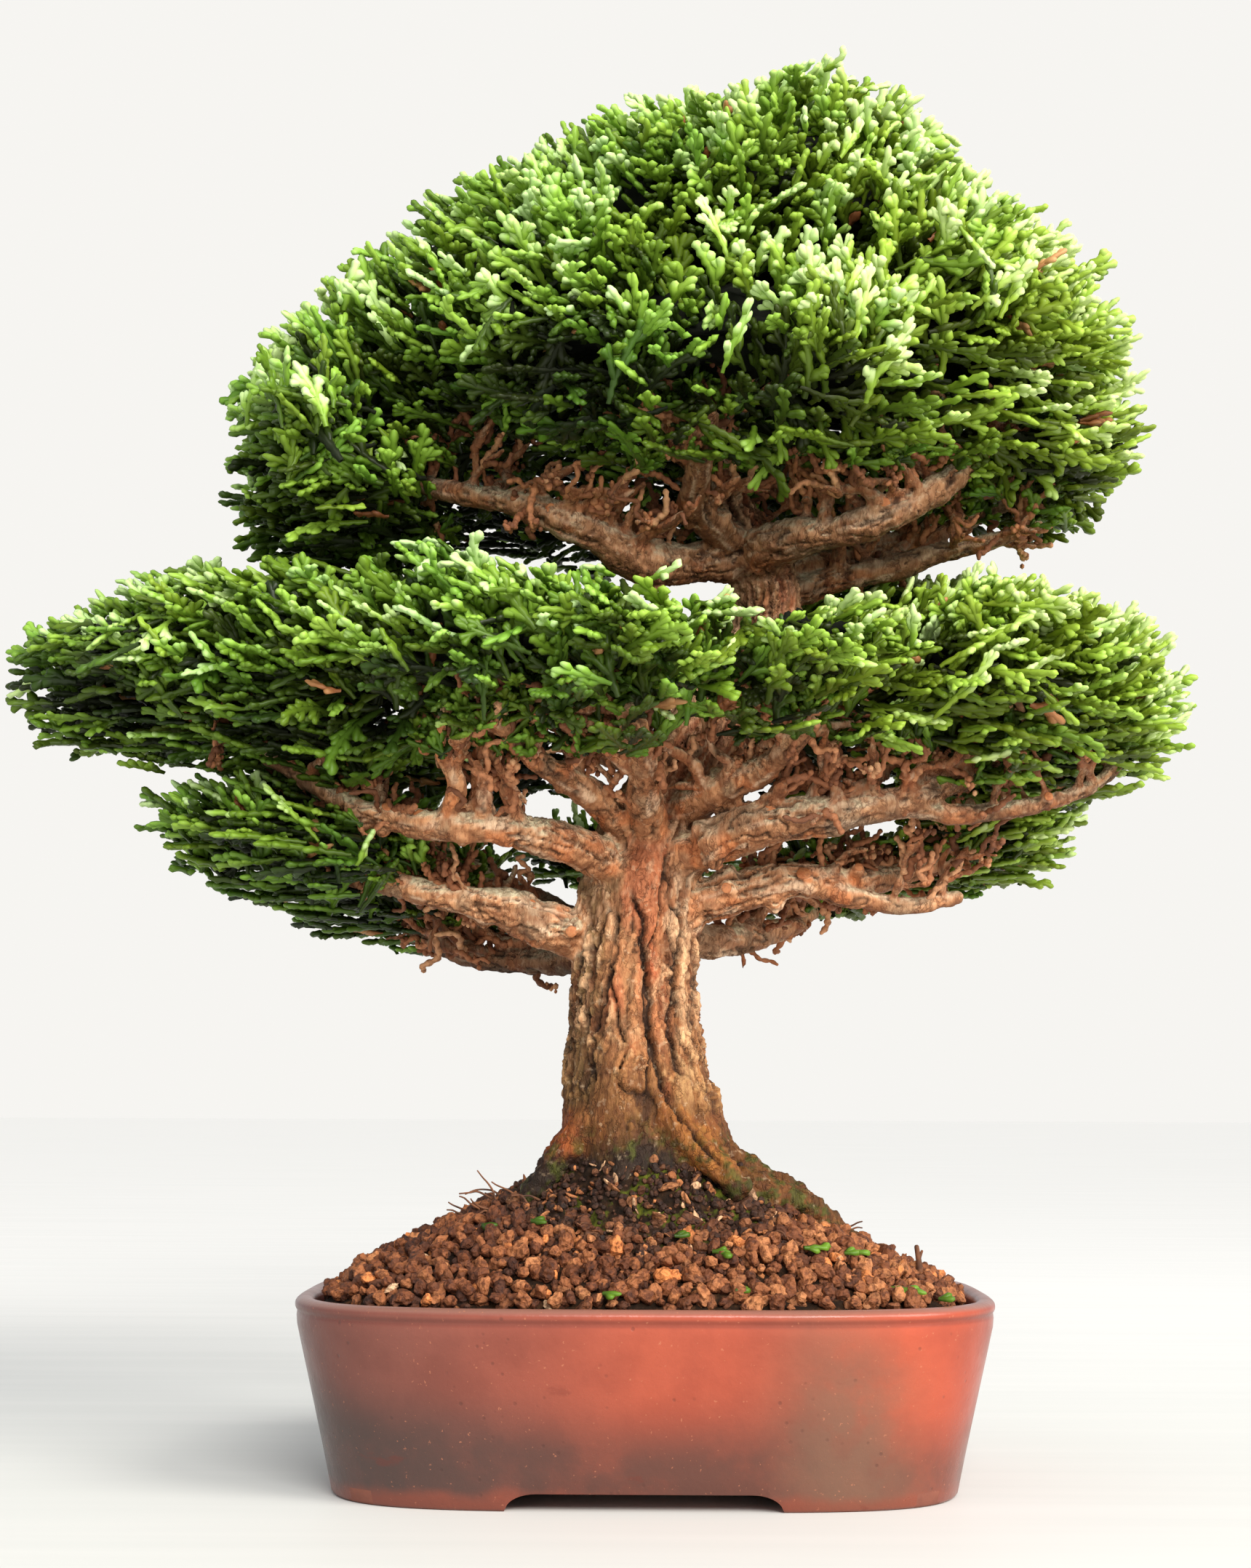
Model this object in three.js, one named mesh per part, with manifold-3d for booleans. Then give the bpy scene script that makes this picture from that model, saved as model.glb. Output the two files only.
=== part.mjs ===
// A potted conifer bonsai: glazed rectangular pot, drainage screens, mounded soil,
// one woody skeleton (trunk, surface roots and limbs that grew as one piece) and
// the foliage pads that the limbs carry.
// Millimetres, +Z up, front towards -Y. The group's origin is the centre of the
// whole object's box, on the surface the pot stands on.
import * as THREE from "three";
import { mergeVertices } from "three/addons/utils/BufferGeometryUtils.js";
import Module from "manifold-3d";

const wasm = await Module();
wasm.setup();

// ---------------------------------------------------------------- dimensions
const GAP = 0.4; // clearance between touching pieces

const RIM_LENGTH = 200; // pot, outside, at the lip
const RIM_DEPTH = 142;
const POT_HEIGHT = 53.5;
const BASE_LENGTH = 177;
const BASE_DEPTH = 119;
const WALL = 6.2;
const RIM_SQUARENESS = 3.6; // superellipse exponent of the plan
const BASE_SQUARENESS = 4.0;
const FLOOR_BOTTOM = 4.8; // height of the recessed underside
const FLOOR_TOP = 11;
const FOOT_WIDTH = 9; // width of the foot ring
const CUTOUT_BOTTOM = 74; // width of the cut-out between the feet, at the table
const CUTOUT_TOP = 60;
const DRAIN_RADIUS = 7;
const DRAIN_X = 38;
const SCREEN_SIZE = 24;
const SCREEN_THICKNESS = 0.8;

const SOIL_EDGE_HEIGHT = 52.0;
// Mound profile: share of the distance from the middle to the wall, and height.
const SOIL_PROFILE = [
  [1.0, SOIL_EDGE_HEIGHT],
  [0.95, 57.0],
  [0.88, 61.2],
  [0.76, 67.0],
  [0.64, 72.6],
  [0.52, 78.2],
  [0.4, 83.4],
  [0.26, 86.4],
];
const SOIL_CENTRE_HEIGHT = 87.4;

// Centre line and radius of each woody run: [x, y, z, r] from the pot's centre.
const TRUNK = [
  [-1.5, 0, 56, 29], [-0.6, 0, 70, 28], [0.4, 0, 84, 27.2], [0.6, 0, 93, 26], [-0.4, 0, 99.5, 24.8],
  [-1.4, 0, 108, 23.3], [-2.4, 0, 117.7, 21.7], [-2.8, 0, 130.6, 19.9], [-3.4, 0, 143.7, 18.4],
  [-2.6, 0, 156.9, 17.8], [-2.1, 0, 167.9, 17.4], [0, 0, 181.1, 15.9], [6, 2, 197, 13.3],
  [14.9, 4, 215.3, 12.1], [26.8, 4, 233.5, 11.2], [36.2, 3, 249.3, 10.3], [37.5, 0, 263.5, 9.9],
  [31.6, -2, 275.7, 9.6], [25, 0, 290, 7.7],
];
const ROOTS = [
  [[4, -10, 90, 9], [18, -15, 87.6, 7], [31, -18, 85.8, 5.6], [45, -16, 82, 5], [53, -14, 76.5, 4.2], [60, -12, 70, 3.2]],
  [[-12, -8, 86, 9], [-26, -11, 80, 6], [-39, -12, 74.5, 4.5], [-48, -12, 69, 3.2]],
  [[-10, 12, 86, 9], [-24, 24, 79, 6.5], [-36, 32, 71, 4]],
  [[10, 12, 86, 9], [24, 23, 80, 6.5], [37, 31, 71, 4]],
];
const LIMBS = {
  left_mid: [[-5.7, -4, 176.3, 7.4], [-15.7, -16, 180.7, 6.5], [-27.3, -24, 183.8, 5.5], [-39.8, -28, 186.1, 5.1], [-52.6, -28, 187.3, 4.7], [-70, -24, 189.1, 4.3], [-83.4, -20, 192.1, 3.9], [-95.1, -14, 199, 3.3], [-109.4, -8, 208.2, 2.9], [-130.3, -4, 221, 2.2]],
  left_low: [[-12.7, 0, 156.8, 8.8], [-25.7, -4, 160.4, 7.9], [-38.7, -6, 163.7, 6.5], [-54.1, -6, 167.6, 4.8], [-72, -2, 171.9, 4], [-90.5, 4, 175.7, 3.1], [-105, 9, 181, 2.2]],
  left_back_low: [[-10.6, 8, 155.2, 5.3], [-28.9, 22, 151.1, 4.5], [-52.7, 38, 153.1, 3.9], [-75, 54, 161, 2.6]],
  right_mid: [[7, -4, 177.4, 7.9], [20.9, -16, 183.8, 7.3], [32.3, -26, 188.7, 6.8], [44.7, -30, 189.7, 5.9], [61.6, -30, 191.9, 5.3], [79.1, -26, 196.3, 4.2], [97.1, -20, 206, 3.2], [112, -14, 219, 2.3]],
  right_low: [[8.2, 0, 163.1, 8.3], [24.5, -4, 169.4, 7], [41.9, -6, 173.2, 5.7], [57.7, 0, 174.2, 4.4], [74.4, 12, 177, 3.6], [94, 24, 184, 2.7], [106, 30, 188.5, 2.2]],
  right_back_low: [[8.3, 8, 157.5, 5.3], [25.5, 22, 157.7, 4.5], [42.4, 44, 162.5, 3.7], [55, 66, 170, 2.6]],
  back_low: [[-1.7, 8, 164.1, 5.8], [-4.1, 40, 171.4, 4.7], [-6.3, 70, 177.7, 3.4], [-7, 88, 183, 2.4]],
  right_upper: [[9.2, -6, 195.5, 6.1], [23.9, -22, 199.5, 5.1], [36, -36, 204.4, 4.2], [47, -50, 214, 2.8]],
  front: [[1.5, -8, 186.9, 5.7], [-0.7, -28, 198.4, 4.7], [-0.7, -44, 206.6, 4.1], [-5.4, -58, 216, 3.2]],
  left_front: [[-1.8, -6, 187.1, 5.3], [-18.8, -24, 198.9, 4.3], [-33.2, -38, 206.4, 3.4], [-43.1, -48, 216, 2.4]],
  back_left: [[9.3, 6, 204.3, 4.9], [-13.5, 30, 219.4, 4.2], [-45.1, 52, 240, 2.8]],
  back_right: [[19.4, 6, 222.5, 4.9], [40, 32, 231.6, 4.2], [66, 56, 246, 2.8]],
  crown_left: [[24.7, -6, 273.5, 7.1], [9, -16, 268.1, 6.6], [-4.1, -26, 267.8, 6.3], [-14.8, -32, 272.9, 5.6], [-26.6, -34, 278.1, 4.9], [-40.8, -30, 283.6, 4.1], [-59, -20, 289.4, 3.1], [-78, -10, 297, 2.2]],
  crown_front: [[24.6, -10, 278.2, 5.8], [15.3, -28, 282.4, 4.8], [16, -44, 290.6, 4], [18, -58, 302, 2.6]],
  crown_right: [[31.4, -6, 271.2, 7.6], [42.9, -18, 275.1, 6.3], [56.4, -26, 275.7, 5.6], [71.2, -30, 280.2, 4.9], [86.6, -28, 288.8, 4.3], [100.7, -20, 302, 3.2], [108, -12, 316, 2.3]],
  crown_right_low: [[38.6, 4, 269.1, 5.9], [55.1, 12, 275.5, 5], [73.1, 20, 281.7, 4.4], [89.9, 24, 288.2, 3.5], [107.1, 20, 293.7, 2.8], [122, 14, 299, 2.2]],
  crown_back: [[27, 8, 283.5, 5], [24, 30, 300, 4.2], [22, 52, 322, 3]],
  crown_upper_left: [[22, 0, 300, 5], [4, 2, 314, 4.2], [-16, 2, 328, 3]],
  leader: [[25, 0, 286, 7.4], [21.7, 2, 302.2, 5.9], [24.1, 4, 319.3, 4.8], [30, 4, 338, 3.4]],
};
// Second-order limbs that leave a limb part way along it.
const FORKS = [
  [[-58.9, -27, 187.9, 3.4], [-54.8, -34, 198.9, 2.7], [-59, -40, 210.6, 2.4], [-57, -45, 220, 2]],
  [[72.4, -28, 194.5, 3.6], [89.6, -26, 191.4, 3.1], [109.4, -22, 193.8, 2.8], [129.8, -14, 200, 2.5], [142, -8, 209, 2.1]],
  [[48.6, -4, 173.6, 3.6], [61.8, -2, 168.8, 3], [80, 4, 167.4, 2.6], [96, 10, 170.5, 2.2]],
];
// Foliage pads: [x, y, z, half length, half depth, height above, height below, tilt in degrees (right end up)]
const PADS = {
  crown_front: [20, -64, 314, 74, 40, 34, 26, 0],
  mid_front: [-6, -72, 228, 31, 36, 26, 22, 0],
  mid_left_front: [-51, -56, 230, 36, 38, 33, 26, 0],
  mid_front_right: [45, -60, 229, 32, 40, 22, 22, 0],
  crown_top: [36, 0, 363, 68, 78, 67.5, 38, 0],
  crown_left_upper: [-36, 0, 343, 53, 80, 48, 31, 0],
  crown_left: [-97, 0, 306, 34, 68, 39, 39, 0],
  crown_right: [103, 0, 333, 46, 82, 45, 40, 0],
  crown_right_low: [128, 4, 303, 23, 52, 24, 25, 0],
  mid_left_tip: [-150, 0, 234, 41, 50, 24, 25, 13],
  mid_left: [-101, -8, 233, 45, 64, 32, 33, 0],
  mid_right: [103, -8, 231, 42, 66, 32, 34, 4],
  mid_right_tip: [138, 0, 227, 25, 50, 27, 30, 14],
  low_left: [-108, 12, 188, 42, 54, 19, 25, -12],
  low_right: [110, 36, 190, 31, 46, 18, 20, 10],
  crown_back: [20, 64, 338, 118, 44, 60, 50, 0],
  mid_back_left: [-66, 64, 248, 64, 46, 36, 44, 0],
  mid_back_right: [74, 66, 248, 64, 46, 36, 44, 0],
  low_left_back: [-79, 66, 171, 41, 42, 18, 16, -4],
  low_right_back: [60, 78, 175, 40, 38, 17, 15, 4],
  low_back: [-7, 98, 190, 39, 30, 19, 14, 0],
};
const PAD_DETAIL = 2; // subdivision of the small pads; the large ones take one more
const LARGE_PAD = 44;

// ---------------------------------------------------------------- materials
const material = (color, roughness) =>
  new THREE.MeshStandardMaterial({ color, roughness, metalness: 0 });
const GLAZE = [0x9c4c36, 0.28];
const SOIL = [0x7c4634, 0.95];
const BARK = [0x7b6247, 0.9];
const SCREEN = [0x2c2f2e, 0.6];
const LEAF = [0x4f7f32, 0.6];

// ---------------------------------------------------------------- helpers
function solidOf(geometry) {
  const g = geometry.index ? geometry.toNonIndexed() : geometry.clone();
  for (const name of Object.keys(g.attributes)) if (name !== "position") g.deleteAttribute(name);
  const m = mergeVertices(g, 1e-4);
  return new wasm.Manifold(
    new wasm.Mesh({
      numProp: 3,
      vertProperties: new Float32Array(m.attributes.position.array),
      triVerts: new Uint32Array(m.index.array),
    }),
  );
}

function largestBody(solid) {
  const bodies = solid.decompose();
  bodies.sort((a, b) => b.volume() - a.volume());
  return bodies[0];
}

function geometryOf(solid) {
  const m = solid.getMesh();
  const positions = new Float32Array(m.numVert * 3);
  for (let i = 0; i < m.numVert; i++)
    positions.set(m.vertProperties.subarray(i * m.numProp, i * m.numProp + 3), i * 3);
  const g = new THREE.BufferGeometry();
  g.setAttribute("position", new THREE.BufferAttribute(positions, 3));
  g.setIndex(new THREE.BufferAttribute(new Uint32Array(m.triVerts), 1));
  g.computeVertexNormals();
  return g;
}

// A closed skin over a stack of rings, each an equal-length list of Vector3 that
// runs counterclockwise about the direction from the first ring to the last.
function loft(rings) {
  const n = rings[0].length;
  const positions = [];
  const index = [];
  for (const ring of rings) for (const p of ring) positions.push(p.x, p.y, p.z);
  for (let k = 0; k + 1 < rings.length; k++)
    for (let i = 0; i < n; i++) {
      const a = k * n + i;
      const b = k * n + ((i + 1) % n);
      index.push(a, b, b + n, a, b + n, a + n);
    }
  for (const [k, flip] of [[0, true], [rings.length - 1, false]]) {
    const c = rings[k].reduce((s, p) => s.add(p), new THREE.Vector3()).divideScalar(n);
    positions.push(c.x, c.y, c.z);
    const centre = positions.length / 3 - 1;
    for (let i = 0; i < n; i++) {
      const a = k * n + i;
      const b = k * n + ((i + 1) % n);
      index.push(...(flip ? [centre, b, a] : [centre, a, b]));
    }
  }
  const g = new THREE.BufferGeometry();
  g.setAttribute("position", new THREE.Float32BufferAttribute(positions, 3));
  g.setIndex(index);
  return g;
}

function planRing(halfX, halfY, z, squareness, sides) {
  const ring = [];
  for (let i = 0; i < sides; i++) {
    const t = ((i + 0.5) / sides) * 2 * Math.PI;
    const c = Math.cos(t);
    const s = Math.sin(t);
    const e = 2 / squareness;
    ring.push(
      new THREE.Vector3(
        halfX * Math.sign(c) * Math.abs(c) ** e,
        halfY * Math.sign(s) * Math.abs(s) ** e,
        z,
      ),
    );
  }
  return ring;
}

// A round run of wood along [x, y, z, r] points, thicker by `grow`.
function woodRun(points, sides, steps, grow = 0) {
  const at = points.map((p) => new THREE.Vector3(p[0], p[1], p[2]));
  const radius = new THREE.CatmullRomCurve3(points.map((p, i) => new THREE.Vector3(i, p[3], 0)));
  const curve = new THREE.CatmullRomCurve3(at, false, "centripetal");
  const frames = curve.computeFrenetFrames(steps, false);
  const rings = [];
  for (let k = 0; k <= steps; k++) {
    const u = k / steps;
    const t = curve.getUtoTmapping(u);
    const centre = curve.getPoint(t);
    const reach = k === 0 ? -grow : k === steps ? grow : 0;
    centre.addScaledVector(frames.tangents[k], reach);
    const r = radius.getPoint(t).y + grow;
    const ring = [];
    for (let i = 0; i < sides; i++) {
      const a = (i / sides) * 2 * Math.PI;
      ring.push(
        centre
          .clone()
          .addScaledVector(frames.normals[k], r * Math.cos(a))
          .addScaledVector(frames.binormals[k], r * Math.sin(a)),
      );
    }
    rings.push(ring);
  }
  return solidOf(loft(rings));
}

function allWood(grow) {
  const trunkSides = 14;
  let wood = woodRun(TRUNK, trunkSides, 20, grow);
  for (const root of ROOTS) wood = wood.add(woodRun(root, 7, 5, grow));
  for (const limb of Object.values(LIMBS)) wood = wood.add(woodRun(limb, 6, limb.length + 1, grow));
  for (const fork of FORKS) wood = wood.add(woodRun(fork, 5, fork.length, grow));
  return wood;
}

// A domed pad of foliage with a flatter underside and a lobed outline.
function pad([x, y, z, halfLength, halfDepth, up, down, tilt], phase, grow = 0) {
  const detail = halfLength > LARGE_PAD ? PAD_DETAIL + 1 : PAD_DETAIL;
  const g = mergeVertices(
    new THREE.IcosahedronGeometry(1, detail).deleteAttribute("normal").deleteAttribute("uv"),
    1e-4,
  );
  const p = g.attributes.position;
  const v = new THREE.Vector3();
  for (let i = 0; i < p.count; i++) {
    v.fromBufferAttribute(p, i).normalize();
    const lobes =
      1 +
      0.05 * Math.sin(4.1 * v.x + 1.7 * v.y + phase) +
      0.045 * Math.sin(5.3 * v.y - 2.3 * v.x + 2 * phase) +
      0.035 * Math.sin(6.1 * v.z + 3.7 * v.x + 3 * phase);
    v.multiplyScalar(lobes);
    v.set(
      v.x * (halfLength + grow),
      v.y * (halfDepth + grow),
      v.z > 0 ? v.z * (up + grow) : v.z * (down + grow),
    );
    p.setXYZ(i, v.x, v.y, v.z);
  }
  g.rotateY(THREE.MathUtils.degToRad(-tilt));
  g.translate(x, y, z);
  return solidOf(g);
}

// ---------------------------------------------------------------- pot
const SIDES = 48;
function potShell() {
  const hx = (z) => THREE.MathUtils.lerp(BASE_LENGTH / 2, RIM_LENGTH / 2 - 1.2, z / 47);
  const hy = (z) => THREE.MathUtils.lerp(BASE_DEPTH / 2, RIM_DEPTH / 2 - 1.2, z / 47);
  const sq = (z) => THREE.MathUtils.lerp(BASE_SQUARENESS, RIM_SQUARENESS, z / POT_HEIGHT);
  const ring = (z, out = 0) => planRing(hx(Math.min(z, 47)) + out, hy(Math.min(z, 47)) + out, z, sq(z), SIDES);
  const outside = solidOf(
    loft([ring(0, -0.7), ring(0.9), ring(16), ring(32, 0.3), ring(48.6, 0.6), ring(50, 1.1), ring(51.2, 1.2), ring(52.2, 0.8), ring(53.1, -0.1), ring(POT_HEIGHT, -1.4)]),
  );
  const inside = solidOf(
    loft([
      ring(FLOOR_TOP, -WALL - 2.2),
      ring(FLOOR_TOP + 3, -WALL),
      ring(30, -WALL),
      ring(51.8, -WALL + 1.2),
      planRing(RIM_LENGTH / 2 - 4.4, RIM_DEPTH / 2 - 4.4, POT_HEIGHT + 0.01, RIM_SQUARENESS, SIDES),
      planRing(RIM_LENGTH / 2 - 4.2, RIM_DEPTH / 2 - 4.2, POT_HEIGHT + 3, RIM_SQUARENESS, SIDES),
    ]),
  );
  const recess = solidOf(
    loft([
      planRing(BASE_LENGTH / 2 - FOOT_WIDTH, BASE_DEPTH / 2 - FOOT_WIDTH, -2, BASE_SQUARENESS, 32),
      planRing(BASE_LENGTH / 2 - FOOT_WIDTH, BASE_DEPTH / 2 - FOOT_WIDTH, FLOOR_BOTTOM, BASE_SQUARENESS, 32),
    ]),
  );
  // The cut-out between the feet, front and back, with rounded shoulders.
  const b = CUTOUT_BOTTOM / 2;
  const t = CUTOUT_TOP / 2;
  const profile = new THREE.Shape();
  profile.moveTo(-b - 0.6, -2);
  profile.lineTo(b + 0.6, -2);
  profile.lineTo(b, 0.4);
  profile.quadraticCurveTo(b - 1.5, FLOOR_BOTTOM - 0.2, t, FLOOR_BOTTOM);
  profile.lineTo(-t, FLOOR_BOTTOM);
  profile.quadraticCurveTo(-b + 1.5, FLOOR_BOTTOM - 0.2, -b, 0.4);
  profile.closePath();
  const slot = new THREE.ExtrudeGeometry(profile, {
    depth: RIM_DEPTH + 20,
    bevelEnabled: false,
    curveSegments: 4,
  });
  slot.rotateX(Math.PI / 2);
  slot.translate(0, RIM_DEPTH / 2 + 10, 0);
  let pot = outside.subtract(inside).subtract(recess).subtract(solidOf(slot));
  for (const x of [-DRAIN_X, DRAIN_X]) {
    const hole = new THREE.CylinderGeometry(DRAIN_RADIUS, DRAIN_RADIUS, 30, 20);
    hole.rotateX(Math.PI / 2);
    hole.translate(x, 0, 8);
    pot = pot.subtract(solidOf(hole));
  }
  return { pot, inside: (z, gap) => ring(z, -WALL - gap) };
}

function soilMound(inside, wood) {
  const bottom = FLOOR_TOP + 2 * GAP + SCREEN_THICKNESS + 0.3;
  const rings = [inside(bottom, GAP + 1.6), inside(FLOOR_TOP + 4, GAP), inside(30, GAP), inside(46, GAP)];
  const halfX = RIM_LENGTH / 2 - 1.2 - WALL - GAP;
  const halfY = RIM_DEPTH / 2 - 1.2 - WALL - GAP;
  for (const [share, height] of SOIL_PROFILE) {
    const ring = planRing(halfX * share, halfY * share, height, 2.3 + 1.3 * share, SIDES);
    if (share < 1)
      for (const p of ring)
        p.z += 0.9 * Math.sin(p.x * 0.13 + 1.1) * Math.cos(p.y * 0.17 + 0.4) * Math.min(1, (1 - share) * 6);
    rings.push(ring);
  }
  const g = loft(rings);
  const p = g.attributes.position;
  p.setZ(p.count - 1, SOIL_CENTRE_HEIGHT);
  return largestBody(solidOf(g).subtract(wood));
}

// ---------------------------------------------------------------- assembly
const bonsai = new THREE.Group();
bonsai.name = "bonsai";

function place(name, solid, [color, roughness]) {
  const mesh = new THREE.Mesh(geometryOf(solid), material(color, roughness));
  mesh.name = name;
  bonsai.add(mesh);
}

const { pot, inside } = potShell();
place("pot", pot, GLAZE);

for (const [name, x] of [["drain_screen_left", -DRAIN_X], ["drain_screen_right", DRAIN_X]]) {
  const screen = new THREE.Mesh(
    new THREE.BoxGeometry(SCREEN_SIZE, SCREEN_SIZE, SCREEN_THICKNESS),
    material(...SCREEN),
  );
  screen.name = name;
  screen.position.set(x, 0, FLOOR_TOP + GAP + SCREEN_THICKNESS / 2);
  bonsai.add(screen);
}

const wood = largestBody(allWood(0));
const woodSpace = allWood(GAP);
place("soil", soilMound(inside, woodSpace), SOIL);
place("trunk_and_limbs", wood, BARK);

const taken = [];
Object.entries(PADS).forEach(([name, dims], i) => {
  const phase = 0.9 + 1.37 * i;
  let leaves = pad(dims, phase).subtract(woodSpace);
  for (const other of taken) leaves = leaves.subtract(other);
  place("foliage_" + name, largestBody(leaves), LEAF);
  taken.push(pad(dims, phase, GAP + 0.1));
});

// The origin goes to the middle of the whole object's box, on the standing surface.
bonsai.updateMatrixWorld(true);
const box = new THREE.Box3().setFromObject(bonsai, true);
bonsai.position.set(-(box.min.x + box.max.x) / 2, -(box.min.y + box.max.y) / 2, -box.min.z);
bonsai.updateMatrixWorld(true);

export default bonsai;
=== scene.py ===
"""Looks of a potted conifer bonsai: glazed pot, grit mound, barked wood and foliage sprays."""
import math

import bpy
import numpy as np
from mathutils import Matrix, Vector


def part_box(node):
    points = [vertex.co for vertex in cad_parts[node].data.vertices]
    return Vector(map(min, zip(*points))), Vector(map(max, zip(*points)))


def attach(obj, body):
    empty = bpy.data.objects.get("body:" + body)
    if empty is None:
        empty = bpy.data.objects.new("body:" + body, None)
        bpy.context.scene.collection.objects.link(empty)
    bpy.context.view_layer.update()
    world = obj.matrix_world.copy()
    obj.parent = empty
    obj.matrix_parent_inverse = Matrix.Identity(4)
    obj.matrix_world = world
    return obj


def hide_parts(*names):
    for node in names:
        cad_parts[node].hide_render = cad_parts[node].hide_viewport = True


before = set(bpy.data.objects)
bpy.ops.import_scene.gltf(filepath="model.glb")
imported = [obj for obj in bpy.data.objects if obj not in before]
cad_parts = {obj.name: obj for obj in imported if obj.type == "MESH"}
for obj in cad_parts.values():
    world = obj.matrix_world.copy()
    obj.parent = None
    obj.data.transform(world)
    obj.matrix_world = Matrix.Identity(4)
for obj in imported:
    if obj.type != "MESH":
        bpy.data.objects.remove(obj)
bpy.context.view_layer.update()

MM = 0.001
pot_lo, pot_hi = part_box("pot")
SHIFT = np.array([(pot_lo[0] + pot_hi[0]) * 500.0, (pot_lo[1] + pot_hi[1]) * 500.0, 0.0])  # mm
RNG = np.random.default_rng(20413)

# ------------------------------------------------------------------ shape data (mm from the pot's centre)
RIM_X, RIM_Y, POT_H = 100.0, 71.0, 53.5
BASE_X, BASE_Y = 88.5, 59.5
TRUNK = [
    [-1.5, 0, 56, 29], [-0.6, 0, 70, 28], [0.4, 0, 84, 27.2], [0.6, 0, 93, 26], [-0.4, 0, 99.5, 24.8],
    [-1.4, 0, 108, 23.3], [-2.4, 0, 117.7, 21.7], [-2.8, 0, 130.6, 19.9], [-3.4, 0, 143.7, 18.4],
    [-2.6, 0, 156.9, 17.8], [-2.1, 0, 167.9, 17.4], [0, 0, 181.1, 15.9], [6, 2, 197, 13.3],
    [14.9, 4, 215.3, 12.1], [26.8, 4, 233.5, 11.2], [36.2, 3, 249.3, 10.3], [37.5, 0, 263.5, 9.9],
    [31.6, -2, 275.7, 9.6], [25, 0, 290, 7.7],
]
ROOTS = [
    [[4, -10, 88, 9], [18, -15, 85.4, 7], [31, -18, 82.6, 5.4], [45, -16, 78.4, 4.4], [53, -14, 73.5, 3.6], [60, -12, 68, 2.8]],
    [[-12, -8, 86, 9], [-26, -11, 80, 6], [-39, -12, 74.5, 4.5], [-48, -12, 69, 3.2]],
    [[-10, 12, 86, 9], [-24, 24, 79, 6.5], [-36, 32, 71, 4]],
    [[10, 12, 86, 9], [24, 23, 80, 6.5], [37, 31, 71, 4]],
]
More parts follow.
